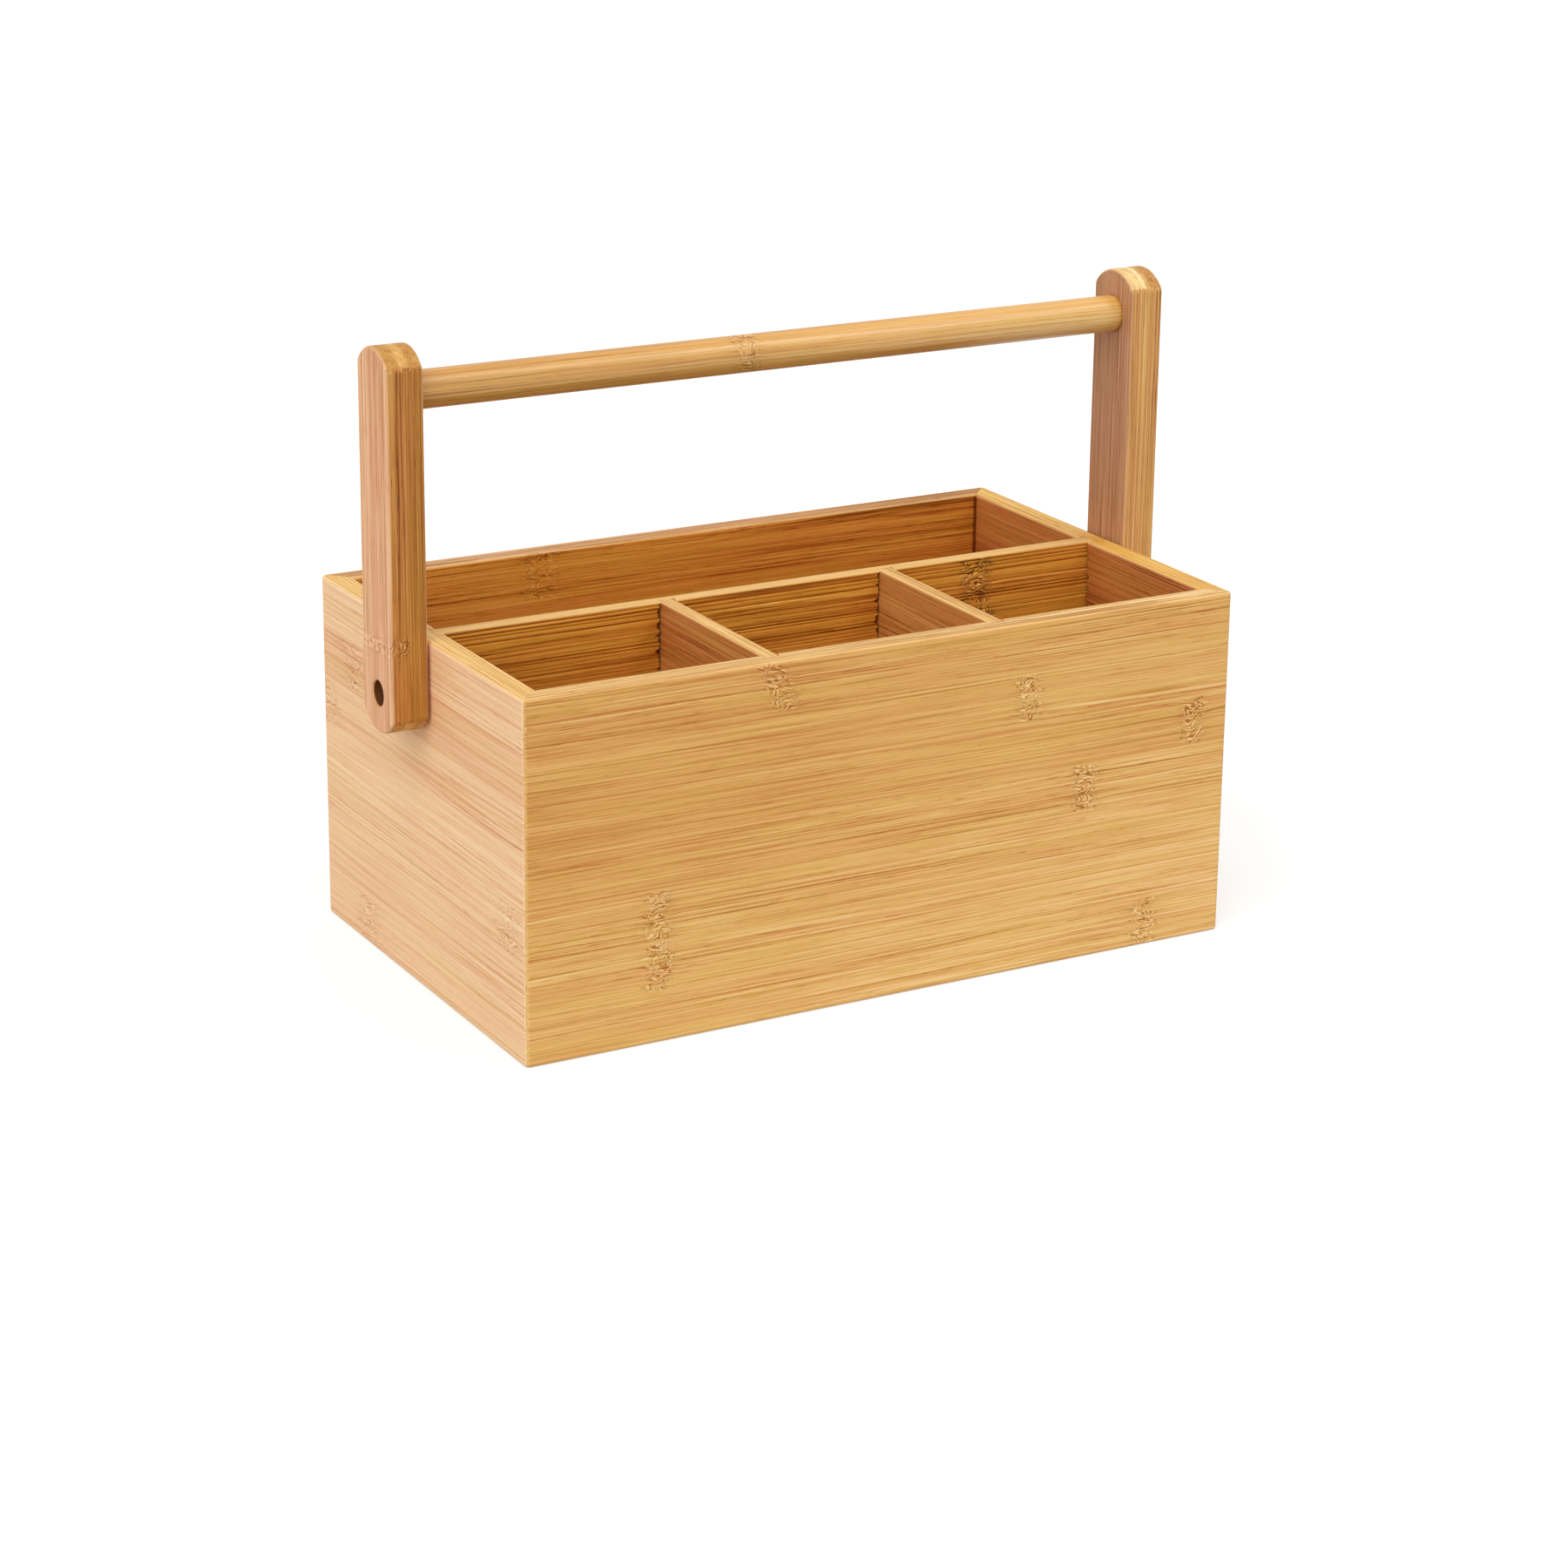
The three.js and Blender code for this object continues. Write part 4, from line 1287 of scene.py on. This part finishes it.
# %% Screw's shape
THREAD_PITCH = 1.5
THREAD_DEPTH = 0.5
THREAD_FROM = 9.0
SHANK_RADIUS = 1.75
SCREW_POINT = 4.0
POINT_BLUNT = 0.05
CORE_TAPER = 0.8
RIDGE_TAPER = 0.3
RIDGE_FADE = 3
RIDGE_SHARPNESS = 2.2
HEAD_RADIUS = (screw_high[2] - screw_low[2]) / 2
HEAD_HEIGHT = 2.5
HEAD_DOME = 0.9
HEAD_BEVEL = 0.2
SCREW_LENGTH = screw_high[0] - screw_low[0] - HEAD_HEIGHT
SCREW_SIDES = 48
SCREW_ROWS = 220


def screw_radius(deep, angle):
    """The shank's radius at a depth below the head and an angle: a smooth shank, then a thinner
    core with a ridge that goes round once per pitch, both fading to nothing at the point."""
    thread = np.clip((deep - THREAD_FROM) / THREAD_PITCH, 0, 1)
    point = np.clip((SCREW_LENGTH - deep) / SCREW_POINT, 0, 1)
    turn = (deep / THREAD_PITCH - angle / (2 * math.pi)) % 1
    ridge = np.clip(1 - np.abs(2 * turn - 1) * RIDGE_SHARPNESS, 0, 1)
    core = (SHANK_RADIUS - THREAD_DEPTH * thread) * point**CORE_TAPER
    fade = np.clip(point * RIDGE_FADE, 0, 1)
    return core + THREAD_DEPTH * thread * ridge * fade * point**RIDGE_TAPER


angle = np.linspace(0, 2 * math.pi, SCREW_SIDES, endpoint=False)
deep = np.linspace(SCREW_LENGTH - POINT_BLUNT, 0, SCREW_ROWS)
shank = screw_radius(deep[:, None], angle[None, :])
dome = np.radians(np.linspace(0, 90, 8))
head_radius = np.concatenate([[HEAD_RADIUS - HEAD_BEVEL, HEAD_RADIUS], HEAD_RADIUS * np.cos(dome)])
head_along = np.concatenate([[0, HEAD_BEVEL], HEAD_HEIGHT - HEAD_DOME + HEAD_DOME * np.sin(dome)])
head = np.broadcast_to(head_radius[:, None], (len(head_radius), SCREW_SIDES))
screw_rows = np.concatenate([np.zeros((1, SCREW_SIDES)), shank, head])
screw_along = np.concatenate([[-SCREW_LENGTH], -deep, head_along])
print(f"screw {SCREW_LENGTH + HEAD_HEIGHT:.1f} mm long, {len(screw_rows)} rows of points")

# %% [markdown]
# Only the cross for the driver is cut, by a cutter that tapers inwards as a real punch does.
# The left screw is the right one's mirror image, as seen from the middle of the box.

# %% Screws
CROSS_BLADE = 0.5
CROSS_REACH = 2.0
RECESS_DEPTH = 1.5
RECESS_ABOVE = 1.0
RECESS_FLOOR_SCALE = 0.45
RECESS_MOUTH_SCALE = 1.1


def cross_recess(head_seat, side):
    """A cross-shaped driver point that tapers inwards: one outline, drawn smaller with depth."""
    blade, reach = CROSS_BLADE, CROSS_REACH
    quarter = np.array([(reach, -blade), (reach, blade), (blade, blade)])
    turns = [np.array([(c, s), (-s, c)]) for c, s in ((1, 0), (0, 1), (-1, 0), (0, -1))]
    outline = np.concatenate([quarter @ turn for turn in turns])
    rows = []
    for height, scale in ((HEAD_HEIGHT - RECESS_DEPTH, RECESS_FLOOR_SCALE),
                          (HEAD_HEIGHT + RECESS_ABOVE, RECESS_MOUTH_SCALE)):
        x = np.full(len(outline), side * (head_seat + height))
        rows.append(np.column_stack([x, outline * scale + (0, PIVOT_HEIGHT)]))
    return skin("driver", np.array(rows))


for name, side in (("left", -1), ("right", 1)):
    head_seat = screw_high[0] - HEAD_HEIGHT
    along = side * (head_seat + screw_along)
    piece = turned(f"wood_screw_{name}", screw_rows, along, (0, 0, PIVOT_HEIGHT), SCREW_SIDES)
    cut(piece, cross_recess(head_seat, side))
    finish_piece(piece, zinc, "box", f"pivot_screw_{name}")


# %% [markdown]
# ## Floor, light and background
#
# The studio is plain: a pale floor, a white world, and one broad soft sun from the upper left
# with a weaker one from the right. A photographed room could light it too, but it would tint
# the wood. Levels are given as how bright a white card looks that faces the light. They are set
# so that what falls on a wall adds up to about 1, and colours render about as they are written.
# For the eye, and for reflections, the floor and the sky are lifted to white, while the floor
# keeps the caddy's shadow.

# %% Floor
# in metres, far past the picture's edges
FLOOR_REACH = 30.0
FLOOR_LIFT = 0.5


def seen_directly(tree):
    """1 for rays from the eye, off a glossy surface or through a clear one, 0 for the rest."""
    rays = add(tree, "LightPath").outputs
    seen = add(tree, "Math MAXIMUM", [rays["Is Camera Ray"], rays["Is Glossy Ray"]])
    return add(tree, "Math MAXIMUM", [seen, rays["Is Transmission Ray"]])


# uncoated paper: no gloss at all, so that nothing but the soft shadow shows on it
paper, tree = new_material("matt_white_paper")
lift = add(tree, "Math MULTIPLY", [seen_directly(tree), FLOOR_LIFT])
glow = add(tree, "Emission", [linear("#FFFFFF"), lift])
matt = add(tree, "BsdfDiffuse", [linear("#C4C4C4")])
add(tree, "OutputMaterial", [add(tree, "AddShader", [matt, glow])])
corners = [(x * FLOOR_REACH, y * FLOOR_REACH, 0) for x, y in ((-1, -1), (1, -1), (1, 1), (-1, 1))]
sheet = bpy.data.meshes.new("studio_floor")
sheet.from_pydata(corners, [], [(0, 1, 2, 3)])
sheet.materials.append(paper)
ground = bpy.data.objects.new("studio_floor", sheet)
bpy.context.scene.collection.objects.link(ground)
print(f"floor {2 * FLOOR_REACH:.0f} m wide")

# %% [markdown]
# A single sun would be hard, but each of these is many degrees wide, so that shadows fade out
# at their edges. The white world fills them from everywhere.

# %% World and suns
WORLD_LEVEL = 0.65
world = bpy.data.worlds.new("white_studio")
bpy.context.scene.world = world
world.use_nodes = True
tree = world.node_tree
tree.nodes.clear()
strength = add(tree, "MapRange", [seen_directly(tree), 0, 1, WORLD_LEVEL, 1.0])
add(tree, "OutputWorld", [add(tree, "Background", [linear("#FFFFFF"), strength])])


def soft_sun(name, towards, level, spread):
    """A sun as wide as the spread in degrees. Level 1 makes a white card that faces it white."""
    lamp = bpy.data.lights.new(name, "SUN")
    lamp.energy = level * math.pi
    lamp.angle = math.radians(spread)
    sun = bpy.data.objects.new(name, lamp)
    sun.matrix_world = Vector(towards).to_track_quat("Z", "Y").to_matrix().to_4x4()
    bpy.context.scene.collection.objects.link(sun)


soft_sun("key_from_left", (-0.55, -0.45, 0.72), 0.53, 60)
soft_sun("fill_from_right", (0.47, -0.40, 0.79), 0.14, 18)
bpy.context.scene.view_settings.view_transform = "Standard"
print(f"world {WORLD_LEVEL}, suns", [light.name for light in bpy.data.lights])

# %% [markdown]
# ## The camera
#
# The camera stands where the photograph was taken from, worked out from the box's corners and
# its size: over a metre off, to the front left, and looking down at 17 degrees. Placed by eye
# it would look right too, but only a worked-out camera shows where a shape is really off. The
# picture's upright edges are nearly parallel, because it was straightened a little afterwards.

# %% Camera
PICTURE = 1800
FOCAL_PIXELS = 4452
CENTRE_ROW = 771
SENSOR = 36.0
CAMERA_AT = (-581.9, -1039.8, 454.0)
YAW, PITCH, ROLL = np.radians([29.38, 17.19, 0.64])
towards = (math.sin(YAW) * math.cos(PITCH), math.cos(YAW) * math.cos(PITCH), -math.sin(PITCH))
forward = np.array(towards)
level = np.array([math.cos(YAW), -math.sin(YAW), 0.0])
upright = np.cross(level, forward)
lens = bpy.data.cameras.new("camera")
lens.sensor_width = SENSOR
lens.lens = FOCAL_PIXELS / PICTURE * SENSOR
lens.shift_y = (CENTRE_ROW - PICTURE / 2) / PICTURE
camera = bpy.data.objects.new("camera", lens)
bpy.context.scene.collection.objects.link(camera)
bpy.context.scene.camera = camera
stand = np.eye(4)
stand[:3, 0] = math.cos(ROLL) * level + math.sin(ROLL) * upright
stand[:3, 1] = math.cos(ROLL) * upright - math.sin(ROLL) * level
stand[:3, 2] = -forward
stand[:3, 3] = np.array(CAMERA_AT) * MM
camera.matrix_world = Matrix(stand.tolist())
print(f"lens {lens.lens:.1f} mm, shift {lens.shift_y:.3f}")
